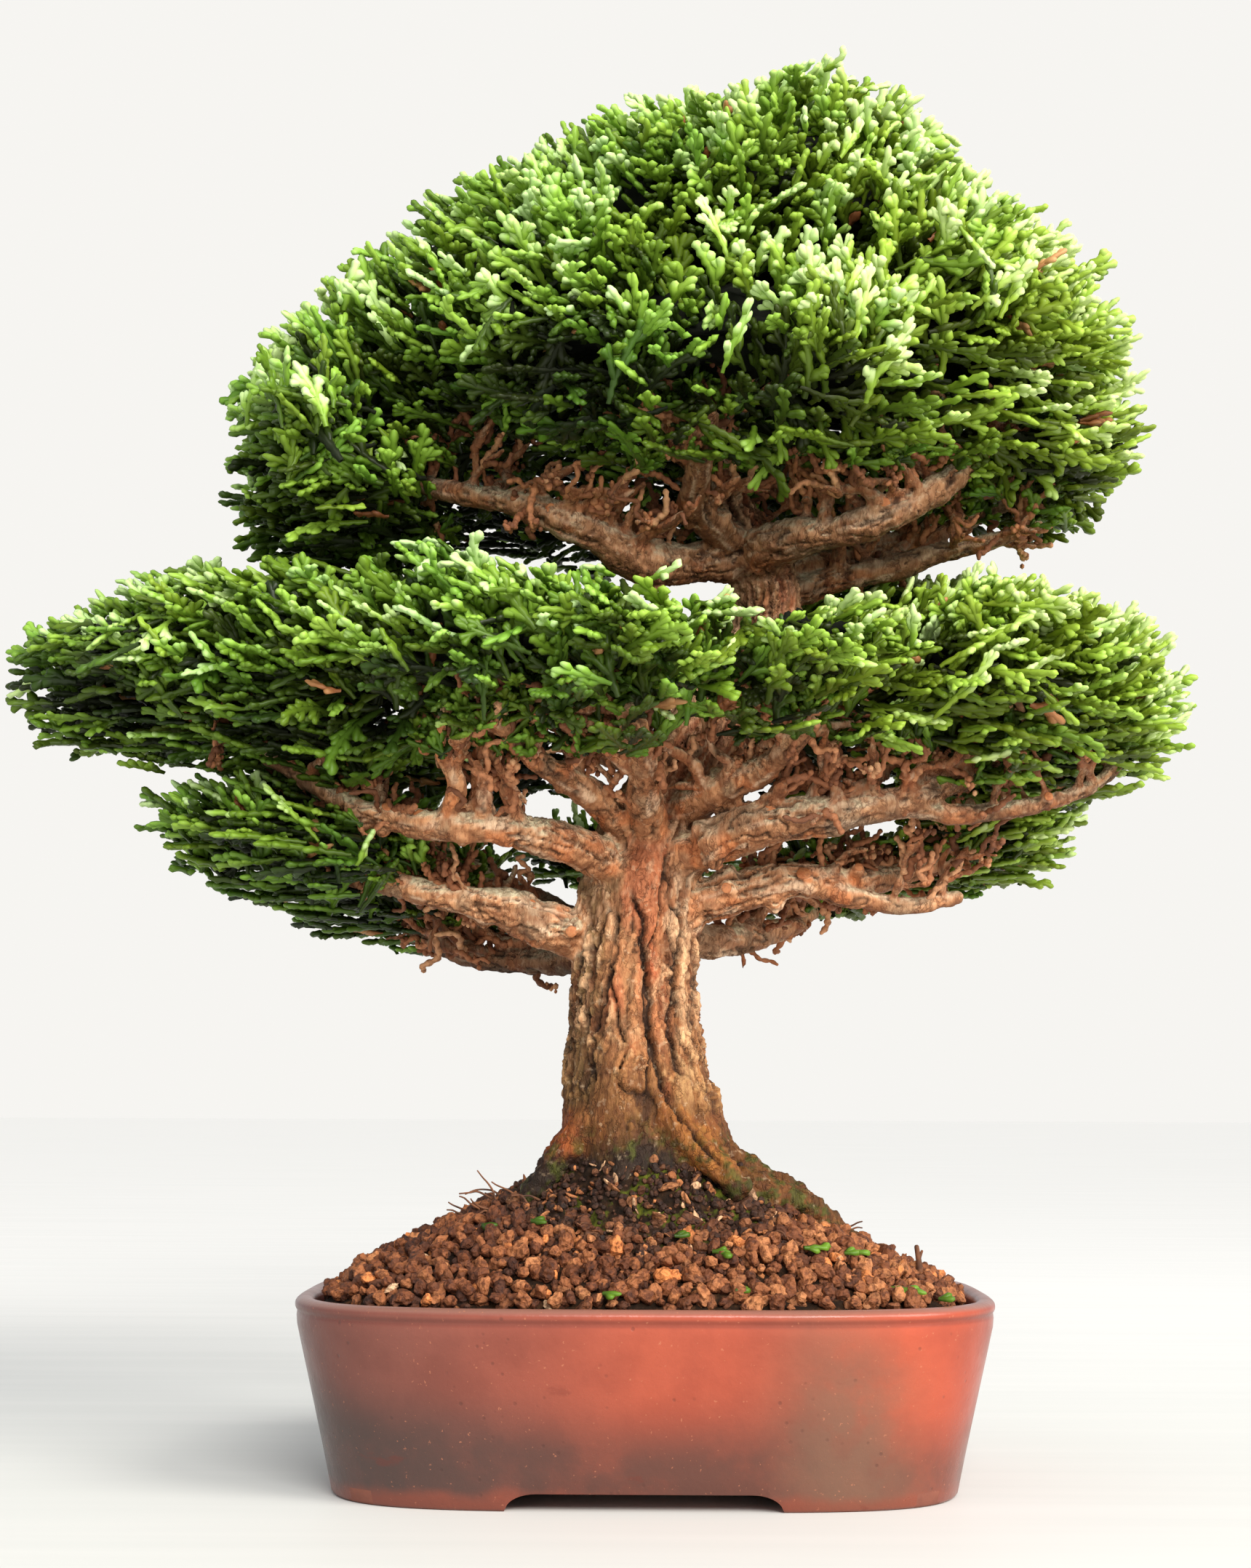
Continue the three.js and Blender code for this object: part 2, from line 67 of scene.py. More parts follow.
LIMBS = {
    "left_mid": [[-5.7, -4, 176.3, 7.4], [-15.7, -16, 180.7, 6.5], [-27.3, -24, 183.8, 5.5], [-39.8, -28, 186.1, 5.1], [-52.6, -28, 187.3, 4.7], [-70, -24, 189.1, 4.3], [-83.4, -20, 192.1, 3.9], [-95.1, -14, 199, 3.3], [-109.4, -8, 208.2, 2.9], [-130.3, -4, 221, 2.2]],
    "left_low": [[-12.7, 0, 156.8, 8.8], [-25.7, -4, 160.4, 7.9], [-38.7, -6, 163.7, 6.5], [-54.1, -6, 167.6, 4.8], [-72, -2, 171.9, 4], [-90.5, 4, 175.7, 3.1], [-105, 9, 181, 2.2]],
    "left_back_low": [[-10.6, 8, 155.2, 5.3], [-28.9, 22, 151.1, 4.5], [-52.7, 38, 153.1, 3.9], [-75, 54, 161, 2.6]],
    "right_mid": [[7, -4, 177.4, 7.9], [20.9, -16, 183.8, 7.3], [32.3, -26, 188.7, 6.8], [44.7, -30, 189.7, 5.9], [61.6, -30, 191.9, 5.3], [79.1, -26, 196.3, 4.2], [97.1, -20, 206, 3.2], [112, -14, 219, 2.3]],
    "right_low": [[8.2, 0, 163.1, 8.3], [24.5, -4, 169.4, 7], [41.9, -6, 173.2, 5.7], [57.7, 0, 174.2, 4.4], [74.4, 12, 177, 3.6], [94, 24, 184, 2.7], [106, 30, 188.5, 2.2]],
    "right_back_low": [[8.3, 8, 157.5, 5.3], [25.5, 22, 157.7, 4.5], [42.4, 44, 162.5, 3.7], [55, 66, 170, 2.6]],
    "back_low": [[-1.7, 8, 164.1, 5.8], [-4.1, 40, 171.4, 4.7], [-6.3, 70, 177.7, 3.4], [-7, 88, 183, 2.4]],
    "right_upper": [[9.2, -6, 195.5, 6.1], [23.9, -22, 199.5, 5.1], [36, -36, 204.4, 4.2], [47, -50, 214, 2.8]],
    "front": [[1.5, -8, 186.9, 5.7], [-0.7, -28, 198.4, 4.7], [-0.7, -44, 206.6, 4.1], [-5.4, -58, 216, 3.2]],
    "left_front": [[-1.8, -6, 187.1, 5.3], [-18.8, -24, 198.9, 4.3], [-33.2, -38, 206.4, 3.4], [-43.1, -48, 216, 2.4]],
    "back_left": [[9.3, 6, 204.3, 4.9], [-13.5, 30, 219.4, 4.2], [-45.1, 52, 240, 2.8]],
    "back_right": [[19.4, 6, 222.5, 4.9], [40, 32, 231.6, 4.2], [66, 56, 246, 2.8]],
    "crown_left": [[24.7, -6, 273.5, 7.1], [9, -16, 268.1, 6.6], [-4.1, -26, 267.8, 6.3], [-14.8, -32, 272.9, 5.6], [-26.6, -34, 278.1, 4.9], [-40.8, -30, 283.6, 4.1], [-59, -20, 289.4, 3.1], [-78, -10, 297, 2.2]],
    "crown_front": [[24.6, -10, 278.2, 5.8], [15.3, -28, 282.4, 4.8], [16, -44, 290.6, 4], [18, -58, 302, 2.6]],
    "crown_right": [[31.4, -6, 271.2, 7.6], [42.9, -18, 275.1, 6.3], [56.4, -26, 275.7, 5.6], [71.2, -30, 280.2, 4.9], [86.6, -28, 288.8, 4.3], [100.7, -20, 302, 3.2], [108, -12, 316, 2.3]],
    "crown_right_low": [[38.6, 4, 269.1, 5.9], [55.1, 12, 275.5, 5], [73.1, 20, 281.7, 4.4], [89.9, 24, 288.2, 3.5], [107.1, 20, 293.7, 2.8], [122, 14, 299, 2.2]],
    "crown_back": [[27, 8, 283.5, 5], [24, 30, 300, 4.2], [22, 52, 322, 3]],
    "crown_upper_left": [[22, 0, 300, 5], [4, 2, 314, 4.2], [-16, 2, 328, 3]],
    "leader": [[25, 0, 286, 7.4], [21.7, 2, 302.2, 5.9], [24.1, 4, 319.3, 4.8], [30, 4, 338, 3.4]],
}
FORKS = [
    [[-58.9, -27, 187.9, 3.4], [-54.8, -34, 198.9, 2.7], [-59, -40, 210.6, 2.4], [-57, -45, 220, 2]],
    [[72.4, -28, 194.5, 3.6], [89.6, -26, 191.4, 3.1], [109.4, -22, 193.8, 2.8], [129.8, -14, 200, 2.5], [142, -8, 209, 2.1]],
    [[48.6, -4, 173.6, 3.6], [61.8, -2, 168.8, 3], [80, 4, 167.4, 2.6], [96, 10, 170.5, 2.2]],
    [[36, 2, 262, 5.4], [56.7, 5, 267.5, 4.6], [70.7, 8, 272, 4.2], [84.3, 8, 275.5, 3.6], [97.6, 5, 279, 3.0], [110.4, 0, 281, 2.6], [121, -2, 285, 2.1]],
    [[-9, 6, 157, 6.6], [-19.5, 10, 158.5, 6.4], [-32.4, 20, 166, 5.8], [-45.8, 30, 174.2, 5.0], [-60.8, 42, 182.9, 4.1], [-76, 52, 190, 3.1], [-88.9, 60, 195, 2.3]],
]
# x, y, z, half length, half depth, up, down, tilt
PADS = {
    "crown_front": [20, -64, 314, 74, 40, 34, 26, 0],
    "mid_front": [-6, -72, 228, 31, 36, 26, 22, 0],
    "mid_left_front": [-51, -56, 230, 36, 38, 33, 26, 0],
    "mid_front_right": [45, -60, 229, 32, 40, 22, 22, 0],
    "crown_top": [32, 0, 363, 69, 78, 62.5, 38, 0],
    "crown_left_upper": [-37, 0, 343, 53, 80, 43, 31, 0],
    "crown_left": [-96, 0, 306, 35, 68, 36, 38, 0],
    "crown_right": [99, 0, 333, 43, 82, 47, 38, 0],
    "crown_right_low": [126, 4, 308, 21, 50, 22, 16, 0],
    "mid_left_tip": [-151, 0, 239, 42.5, 50, 27, 26, 11],
    "mid_left": [-101, -8, 233, 45, 64, 32, 33, 0],
    "mid_right": [103, -8, 231, 42, 66, 32, 34, 4],
    "mid_right_tip": [137, 0, 229, 24, 50, 27, 28, 14],
    "low_left": [-108, 12, 189, 41, 54, 19, 24, -12],
    "low_right": [110, 36, 193, 31, 46, 18, 16, 10],
    "crown_back": [20, 64, 338, 118, 44, 60, 50, 0],
    "mid_back_left": [-66, 64, 248, 64, 46, 36, 44, 0],
    "mid_back_right": [74, 66, 248, 64, 46, 36, 44, 0],
    "low_left_back": [-79, 66, 174, 41, 42, 18, 15, -4],
    "low_right_back": [60, 78, 180, 40, 38, 17, 10, 4],
    "low_back": [-7, 98, 192, 39, 30, 19, 12, 0],
}
SOIL_PROFILE = [(1.0, 54.0), (0.95, 57.0), (0.88, 60.6), (0.76, 66.0), (0.64, 71.4), (0.52, 76.8), (0.4, 81.8), (0.26, 85.6), (0.0, 88.0)]


# ------------------------------------------------------------------ number helpers
def unit(v):
    return v / np.maximum(np.linalg.norm(v, axis=-1, keepdims=True), 1e-9)


def smooth(a, b, x):
    t = np.clip((x - a) / (b - a), 0, 1)
    return t * t * (3 - 2 * t)


def hash01(ix, iy, iz, seed):
    h = (ix * 73856093) ^ (iy * 19349663) ^ (iz * 83492791) ^ (seed * 374761393)
    h = (h ^ (h >> 13)) * 1274126177
    h = (h ^ (h >> 15)) & 0xFFFFFF
    return h / float(0xFFFFFF)


def noise(p, seed=0):
    """Smooth value noise, -1..1."""
    i = np.floor(p).astype(np.int64)
    f = p - i
    u = f * f * f * (f * (f * 6 - 15) + 10)
    out = 0.0
    for dx in (0, 1):
        for dy in (0, 1):
            for dz in (0, 1):
                w = (
                    (u[..., 0] if dx else 1 - u[..., 0])
                    * (u[..., 1] if dy else 1 - u[..., 1])
                    * (u[..., 2] if dz else 1 - u[..., 2])
                )
                out = out + w * hash01(i[..., 0] + dx, i[..., 1] + dy, i[..., 2] + dz, seed)
    return out * 2 - 1


def fbm(p, octaves, seed=0):
    out, amp, total = 0.0, 1.0, 0.0
    for k in range(octaves):
        out = out + amp * noise(p * 2.03**k + 17.3 * k, seed + k)
        total += amp
        amp *= 0.5
    return out / total


def worley(p, seed=0):
    """Distances to the nearest and second nearest cell point, and the nearest cell's random number."""
    i = np.floor(p).astype(np.int64)
    f1 = np.full(p.shape[:-1], 9.0)
    f2 = np.full(p.shape[:-1], 9.0)
    cell = np.zeros(p.shape[:-1])
    for dx in (-1, 0, 1):
        for dy in (-1, 0, 1):
            for dz in (-1, 0, 1):
                cx, cy, cz = i[..., 0] + dx, i[..., 1] + dy, i[..., 2] + dz
                q = np.stack(
                    [cx + hash01(cx, cy, cz, seed + 1), cy + hash01(cx, cy, cz, seed + 2), cz + hash01(cx, cy, cz, seed + 3)],
                    -1,
                )
                d = np.linalg.norm(q - p, axis=-1)
                nearer = d < f1
                f2 = np.where(nearer, f1, np.minimum(f2, d))
                cell = np.where(nearer, hash01(cx, cy, cz, seed + 4), cell)
                f1 = np.where(nearer, d, f1)
    return f1, f2, cell


def spline(points, spacing):
    """Samples [x, y, z, r] along a Catmull-Rom curve at about this spacing."""
    p = np.asarray(points, float)
    p = np.vstack([2 * p[0] - p[1], p, 2 * p[-1] - p[-2]])
    p[0, 3], p[-1, 3] = p[1, 3], p[-2, 3]
    out = []
    for k in range(1, len(p) - 2):
        a, b, c, d = p[k - 1], p[k], p[k + 1], p[k + 2]
        n = max(2, int(np.ceil(np.linalg.norm(c[:3] - b[:3]) / spacing)))
        t = (np.arange(n) / n)[:, None]
        out.append(0.5 * (2 * b + (c - a) * t + (2 * a - 5 * b + 4 * c - d) * t**2 + (3 * b - a - 3 * c + d) * t**3))
    out.append(p[-2][None])
    return np.vstack(out)


def frames(path):
    t = unit(np.gradient(path[:, :3], axis=0))
    n = np.zeros_like(t)
    start = np.array([0.0, 1.0, 0.0]) if abs(t[0, 1]) < 0.8 else np.array([1.0, 0.0, 0.0])
    v = start - t[0] * (start @ t[0])
    for k in range(len(t)):
        v = v - t[k] * (v @ t[k])
        v = v / np.linalg.norm(v)
        n[k] = v
    return t, n, np.cross(t, n)


def tube(path, sides, flute=0.0, seed=0, round_end=True):
    """Closed tube as (vertices, triangles)."""
    path = np.array(path, float)
    if round_end:
        t_end = unit(path[-1, :3] - path[-2, :3])
        r = path[-1, 3]
        extra = [np.r_[path[-1, :3] + t_end * r * a, r * b] for a, b in ((0.45, 0.85), (0.8, 0.5))]
        path = np.vstack([path] + extra)
    t, n, b = frames(path)
    a = np.arange(sides) / sides * 2 * np.pi
    ring = path[:, 3][:, None] * np.ones(sides)
    if flute:
        s = np.cumsum(np.r_[0, np.linalg.norm(np.diff(path[:, :3], axis=0), axis=1)])[:, None]
        ring = ring * (1 + flute * (0.6 * np.sin(3 * a + s * 0.012 + seed) + 0.5 * np.sin(5 * a - s * 0.02 + 2 * seed) + 0.5 * np.sin(2 * a + s * 0.03)))
    v = path[:, None, :3] + ring[..., None] * (np.cos(a)[None, :, None] * n[:, None] + np.sin(a)[None, :, None] * b[:, None])
    m = len(path)
    v = np.vstack([v.reshape(-1, 3), path[0, :3], path[-1, :3]])
    k, i = np.meshgrid(np.arange(m - 1), np.arange(sides), indexing="ij")
    p0, p1 = k * sides + i, k * sides + (i + 1) % sides
    tri = np.vstack([np.stack([p0, p1, p1 + sides], -1).reshape(-1, 3), np.stack([p0, p1 + sides, p0 + sides], -1).reshape(-1, 3)])
    i = np.arange(sides)
    j = (i + 1) % sides
    c0, c1 = m * sides, m * sides + 1
    tri = np.vstack([tri, np.stack([np.full(sides, c0), j, i], -1), np.stack([np.full(sides, c1), (m - 1) * sides + i, (m - 1) * sides + j], -1)])
    return v, tri


def join(parts):
    """Joins (vertices, triangles, {attribute: values}) tuples."""
    vs, ts, at = [], [], {}
    base = 0
    for part in parts:
        vs.append(part[0])
        ts.append(part[1] + base)
        base += len(part[0])
        if len(part) > 2:
            for key, val in part[2].items():
                at.setdefault(key, []).append(val)
    return np.vstack(vs), np.vstack(ts), {k: np.concatenate(v) for k, v in at.items()}


# ------------------------------------------------------------------ Blender helpers
def mesh_piece(name, v, faces, material, attributes=None, uv=None, flat=False, shift=True):
    """One object from vertices in mm; faces is an (n, 3) or (n, 4) array."""
    me = bpy.data.meshes.new(name)
    co = (v + (SHIFT if shift else 0)) * MM
    me.vertices.add(len(co))
    me.vertices.foreach_set("co", np.ascontiguousarray(co, np.float32).ravel())
    k = faces.shape[1]
    me.loops.add(faces.size)
    me.loops.foreach_set("vertex_index", np.ascontiguousarray(faces, np.int32).ravel())
    me.polygons.add(len(faces))
    me.polygons.foreach_set("loop_start", np.arange(len(faces), dtype=np.int32) * k)
    me.polygons.foreach_set("use_smooth", np.full(len(faces), not flat))
    me.update(calc_edges=True)
    for key, val in (attributes or {}).items():
        if val.ndim == 2:
            a = me.attributes.new(key, "FLOAT_COLOR", "POINT")
            rgba = np.ones((len(val), 4), np.float32)
            rgba[:, :3] = val
            a.data.foreach_set("color", rgba.ravel())
        else:
            a = me.attributes.new(key, "FLOAT", "POINT")
            a.data.foreach_set("value", np.ascontiguousarray(val, np.float32))
    if uv is not None:
        layer = me.uv_layers.new(name="OFBake")
        per_corner = uv if len(uv) == faces.size else uv[faces.ravel()]
        layer.uv.foreach_set("vector", np.ascontiguousarray(per_corner, np.float32).ravel())
    me.materials.append(material)
    o = bpy.data.objects.new(name, me)
    bpy.context.scene.collection.objects.link(o)
    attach(o, "root")
    return o


def srgb(r, g, b):
    c = np.array([r, g, b]) / 255.0
    c = np.where(c <= 0.04045, c / 12.92, ((c + 0.055) / 1.055) ** 2.4)
    return (float(c[0]), float(c[1]), float(c[2]), 1.0)


def lin(r, g, b):
    return np.array(srgb(r, g, b)[:3])


class Nodes:
    """Short way to build a shader tree."""

    def __init__(self, name):
        self.mat = bpy.data.materials.new(name)
        self.mat.use_nodes = True
        self.tree = self.mat.node_tree
        self.tree.nodes.clear()
        self.out = self.tree.nodes.new("ShaderNodeOutputMaterial")
        self.bsdf = self.tree.nodes.new("ShaderNodeBsdfPrincipled")
        self.tree.links.new(self.bsdf.outputs[0], self.out.inputs[0])

    def put(self, socket, value):
        if isinstance(value, bpy.types.NodeSocket):
            self.tree.links.new(value, socket)
        else:
            socket.default_value = value

    def node(self, kind, inputs=None, **props):
        n = self.tree.nodes.new(kind)
        for k, v in props.items():
            setattr(n, k, v)
        for k, v in (inputs or {}).items():
            self.put(n.inputs[k], v)
        return n

    def attribute(self, name, output="Fac"):
        return self.node("ShaderNodeAttribute", attribute_name=name).outputs[output]

    def object_coords(self):
        return self.node("ShaderNodeTexCoord").outputs["Object"]

    def math(self, op, a, b=0.0, c=0.0):
        n = self.node("ShaderNodeMath", operation=op)
        for s, v in zip(n.inputs, (a, b, c)):
            self.put(s, v)
        return n.outputs[0]

    def noise(self, vector, scale, detail=3.0, rough=0.55, out="Fac"):
        return self.node("ShaderNodeTexNoise", {"Vector": vector, "Scale": scale, "Detail": detail, "Roughness": rough}).outputs[out]

    def scaled(self, vector, x, y, z):
        return self.node("ShaderNodeVectorMath", {0: vector, 1: (x, y, z)}, operation="MULTIPLY").outputs[0]

    def range(self, value, a, b, c=0.0, d=1.0, kind="SMOOTHSTEP"):
        n = self.node("ShaderNodeMapRange", interpolation_type=kind)
        for i, v in enumerate((value, a, b, c, d)):
            self.put(n.inputs[i], v)
        return n.outputs[0]

    def mix(self, fac, a, b, blend="MIX"):
        n = self.node("ShaderNodeMix", data_type="RGBA", blend_type=blend)
        self.put(n.inputs[0], fac)
        self.put(n.inputs[6], a)
        self.put(n.inputs[7], b)
        return n.outputs[2]

    def ramp(self, fac, stops):
        n = self.node("ShaderNodeValToRGB", {0: fac})
        el = n.color_ramp.elements
        while len(el) < len(stops):
            el.new(0.5)
        for e, (pos, col) in zip(el, stops):
            e.position = pos
            e.color = col
        return n.outputs[0]

    def set(self, **inputs):
        for k, v in inputs.items():
            self.put(self.bsdf.inputs[k.replace("_", " ")], v)

    def bump(self, height, strength, distance):
        n = self.node("ShaderNodeBump", {"Height": height, "Strength": strength, "Distance": distance})
        self.tree.links.new(n.outputs[0], self.bsdf.inputs["Normal"])


# ------------------------------------------------------------------ camera, stage, light
def set_camera():
    psi, phi, roll = 0.0093, 0.1412, 0.004
    forward = np.array([-math.sin(psi) * math.cos(phi), math.cos(psi) * math.cos(phi), math.sin(phi)])
    right0 = np.array([math.cos(psi), math.sin(psi), 0.0])
    up0 = np.array([math.sin(psi) * math.sin(phi), -math.cos(psi) * math.sin(phi), math.cos(phi)])
    c, s = math.cos(roll), math.sin(roll)
    right, up = c * right0 + s * up0, -s * right0 + c * up0
    pos = (np.array([0.0, -672.2, 108.3]) + SHIFT) * MM
    cam = bpy.data.cameras.new("camera")
    cam.lens = 3063.8 / 2156 * 36
    cam.sensor_width = 36
    cam.sensor_fit = "AUTO"
    cam.clip_start, cam.clip_end = 0.01, 50
    o = bpy.data.objects.new("camera", cam)
    o.matrix_world = Matrix([[right[i], up[i], -forward[i], pos[i]] for i in range(3)] + [[0, 0, 0, 1]])
    bpy.context.scene.collection.objects.link(o)
    bpy.context.scene.camera = o


def area_light(name, place, target, size, power, colour):
    data = bpy.data.lights.new(name, "AREA")
    data.shape = "RECTANGLE"
    data.size, data.size_y = size
    data.energy = power
    data.color = colour
    o = bpy.data.objects.new(name, data)
    d = np.array(target, float) - np.array(place, float)
    z = -d / np.linalg.norm(d)
    x = np.cross([0, 0, 1.0], z)
    x /= np.linalg.norm(x)
    y = np.cross(z, x)
    o.matrix_world = Matrix([[x[i], y[i], z[i], place[i]] for i in range(3)] + [[0, 0, 0, 1]])
    bpy.context.scene.collection.objects.link(o)


def set_stage():
    me = bpy.data.meshes.new("floor")
    r = 12.0
    me.from_pydata([(-r, -r, 0), (r, -r, 0), (r, r, 0), (-r, r, 0)], [], [(0, 1, 2, 3)])
    m = Nodes("floor")
    p = m.object_coords()
    streak = m.noise(m.scaled(p, 1.0, 22, 1), 3.0, 4)
    sep = m.node("ShaderNodeSeparateXYZ", {0: p})
    col = m.ramp(streak, [(0.35, (0.80, 0.80, 0.775, 1)), (0.7, (0.835, 0.83, 0.805, 1))])
    # painted shade: the floor is darker towards the front, and darker again on the left front as a painted shadow
    col = m.mix(m.range(sep.outputs[1], 0.7, -0.2), col, m.mix(1.0, col, (0.835, 0.84, 0.835, 1), "MULTIPLY"))
    col = m.mix(m.math("MULTIPLY", m.range(sep.outputs[0], 0.15, -0.25, 0.0, 0.5), m.range(sep.outputs[1], 0.8, -0.2)), col, m.mix(1.0, col, (0.93, 0.94, 0.925, 1), "MULTIPLY"))
    m.set(Base_Color=col, Roughness=0.6, Specular_IOR_Level=0.25)
    me.materials.append(m.mat)
    floor = bpy.data.objects.new("floor", me)
    bpy.context.scene.collection.objects.link(floor)
    # what the camera sees of the world is an off-white sweep; what lights the scene is dimmer, so the key light shapes it
    world = bpy.data.worlds.new("world")
    world.use_nodes = True
    t = world.node_tree
    bg = t.nodes["Background"]
    ray = t.nodes.new("ShaderNodeLightPath")
    mix = t.nodes.new("ShaderNodeMix")
    mix.data_type = "RGBA"
    mix.inputs[6].default_value = (0.70, 0.71, 0.73, 1)
    mix.inputs[7].default_value = (0.925, 0.912, 0.882, 1)
    t.links.new(ray.outputs["Is Camera Ray"], mix.inputs[0])
    t.links.new(mix.outputs[2], bg.inputs[0])
    bg.inputs[1].default_value = 1.0
    bpy.context.scene.world = world
    sun = bpy.data.lights.new("key", "SUN")
    sun.energy = 2.7
    sun.angle = math.radians(30)
    sun.color = (1.0, 0.955, 0.885)
    o = bpy.data.objects.new("key", sun)
    z = np.array([0.90, -0.60, 0.62])
    z /= np.linalg.norm(z)
    x = np.cross([0, 0, 1.0], z)
    x /= np.linalg.norm(x)
    y = np.cross(z, x)
    o.matrix_world = Matrix([[x[i], y[i], z[i], 0] for i in range(3)] + [[0, 0, 0, 1]])
    bpy.context.scene.collection.objects.link(o)
    area_light("front", (0.35, -1.25, 0.85), (0.0, 0.0, 0.2), (0.7, 0.5), 19, (1.0, 0.98, 0.95))
    view = bpy.context.scene.view_settings
    view.view_transform = "Standard"
    view.look = "None"


set_camera()
set_stage()


# ------------------------------------------------------------------ pot
def plan(hx, hy, z, e, n):
    t = (np.arange(n) + 0.5) / n * 2 * np.pi
    # even spacing along the outline
    fine = np.linspace(0, 2 * np.pi, 4001)
    c, s = np.cos(fine), np.sin(fine)
    x = hx * np.sign(c) * np.abs(c) ** (2 / e)
    y = hy * np.sign(s) * np.abs(s) ** (2 / e)
    arc = np.cumsum(np.r_[0, np.hypot(np.diff(x), np.diff(y))])
    at = t / (2 * np.pi) * arc[-1]
    return np.stack([np.interp(at, arc, x), np.interp(at, arc, y), np.full(n, float(z))], -1)


def pot_plan(z, out, n):
    f = min(z, 47.0) / 47.0
    return plan(BASE_X + (RIM_X - 1.2 - BASE_X) * f + out, BASE_Y + (RIM_Y - 1.2 - BASE_Y) * f + out, z, 4.0 + (3.6 - 4.0) * z / POT_H, n)


def loft(rings):
    n = len(rings[0])
    v = np.vstack(rings)
    m = len(rings)
    k, i = np.meshgrid(np.arange(m - 1), np.arange(n), indexing="ij")
    a, b = (k * n + i).ravel(), (k * n + (i + 1) % n).ravel()
    return v, np.stack([a, b, b + n, a + n], -1)


def solid_from(v, quads, caps):
    """bmesh-free object for boolean work: quads plus end caps as n-gons."""
    me = bpy.data.meshes.new("tool")
    me.from_pydata([tuple(p * MM) for p in (v + SHIFT)], [], [tuple(int(i) for i in q) for q in quads] + caps)
    me.update()
    o = bpy.data.objects.new("tool", me)
    bpy.context.scene.collection.objects.link(o)
    return o


def evaluated(o, name):
    dg = bpy.context.evaluated_depsgraph_get()
    return bpy.data.meshes.new_from_object(o.evaluated_get(dg), depsgraph=dg)


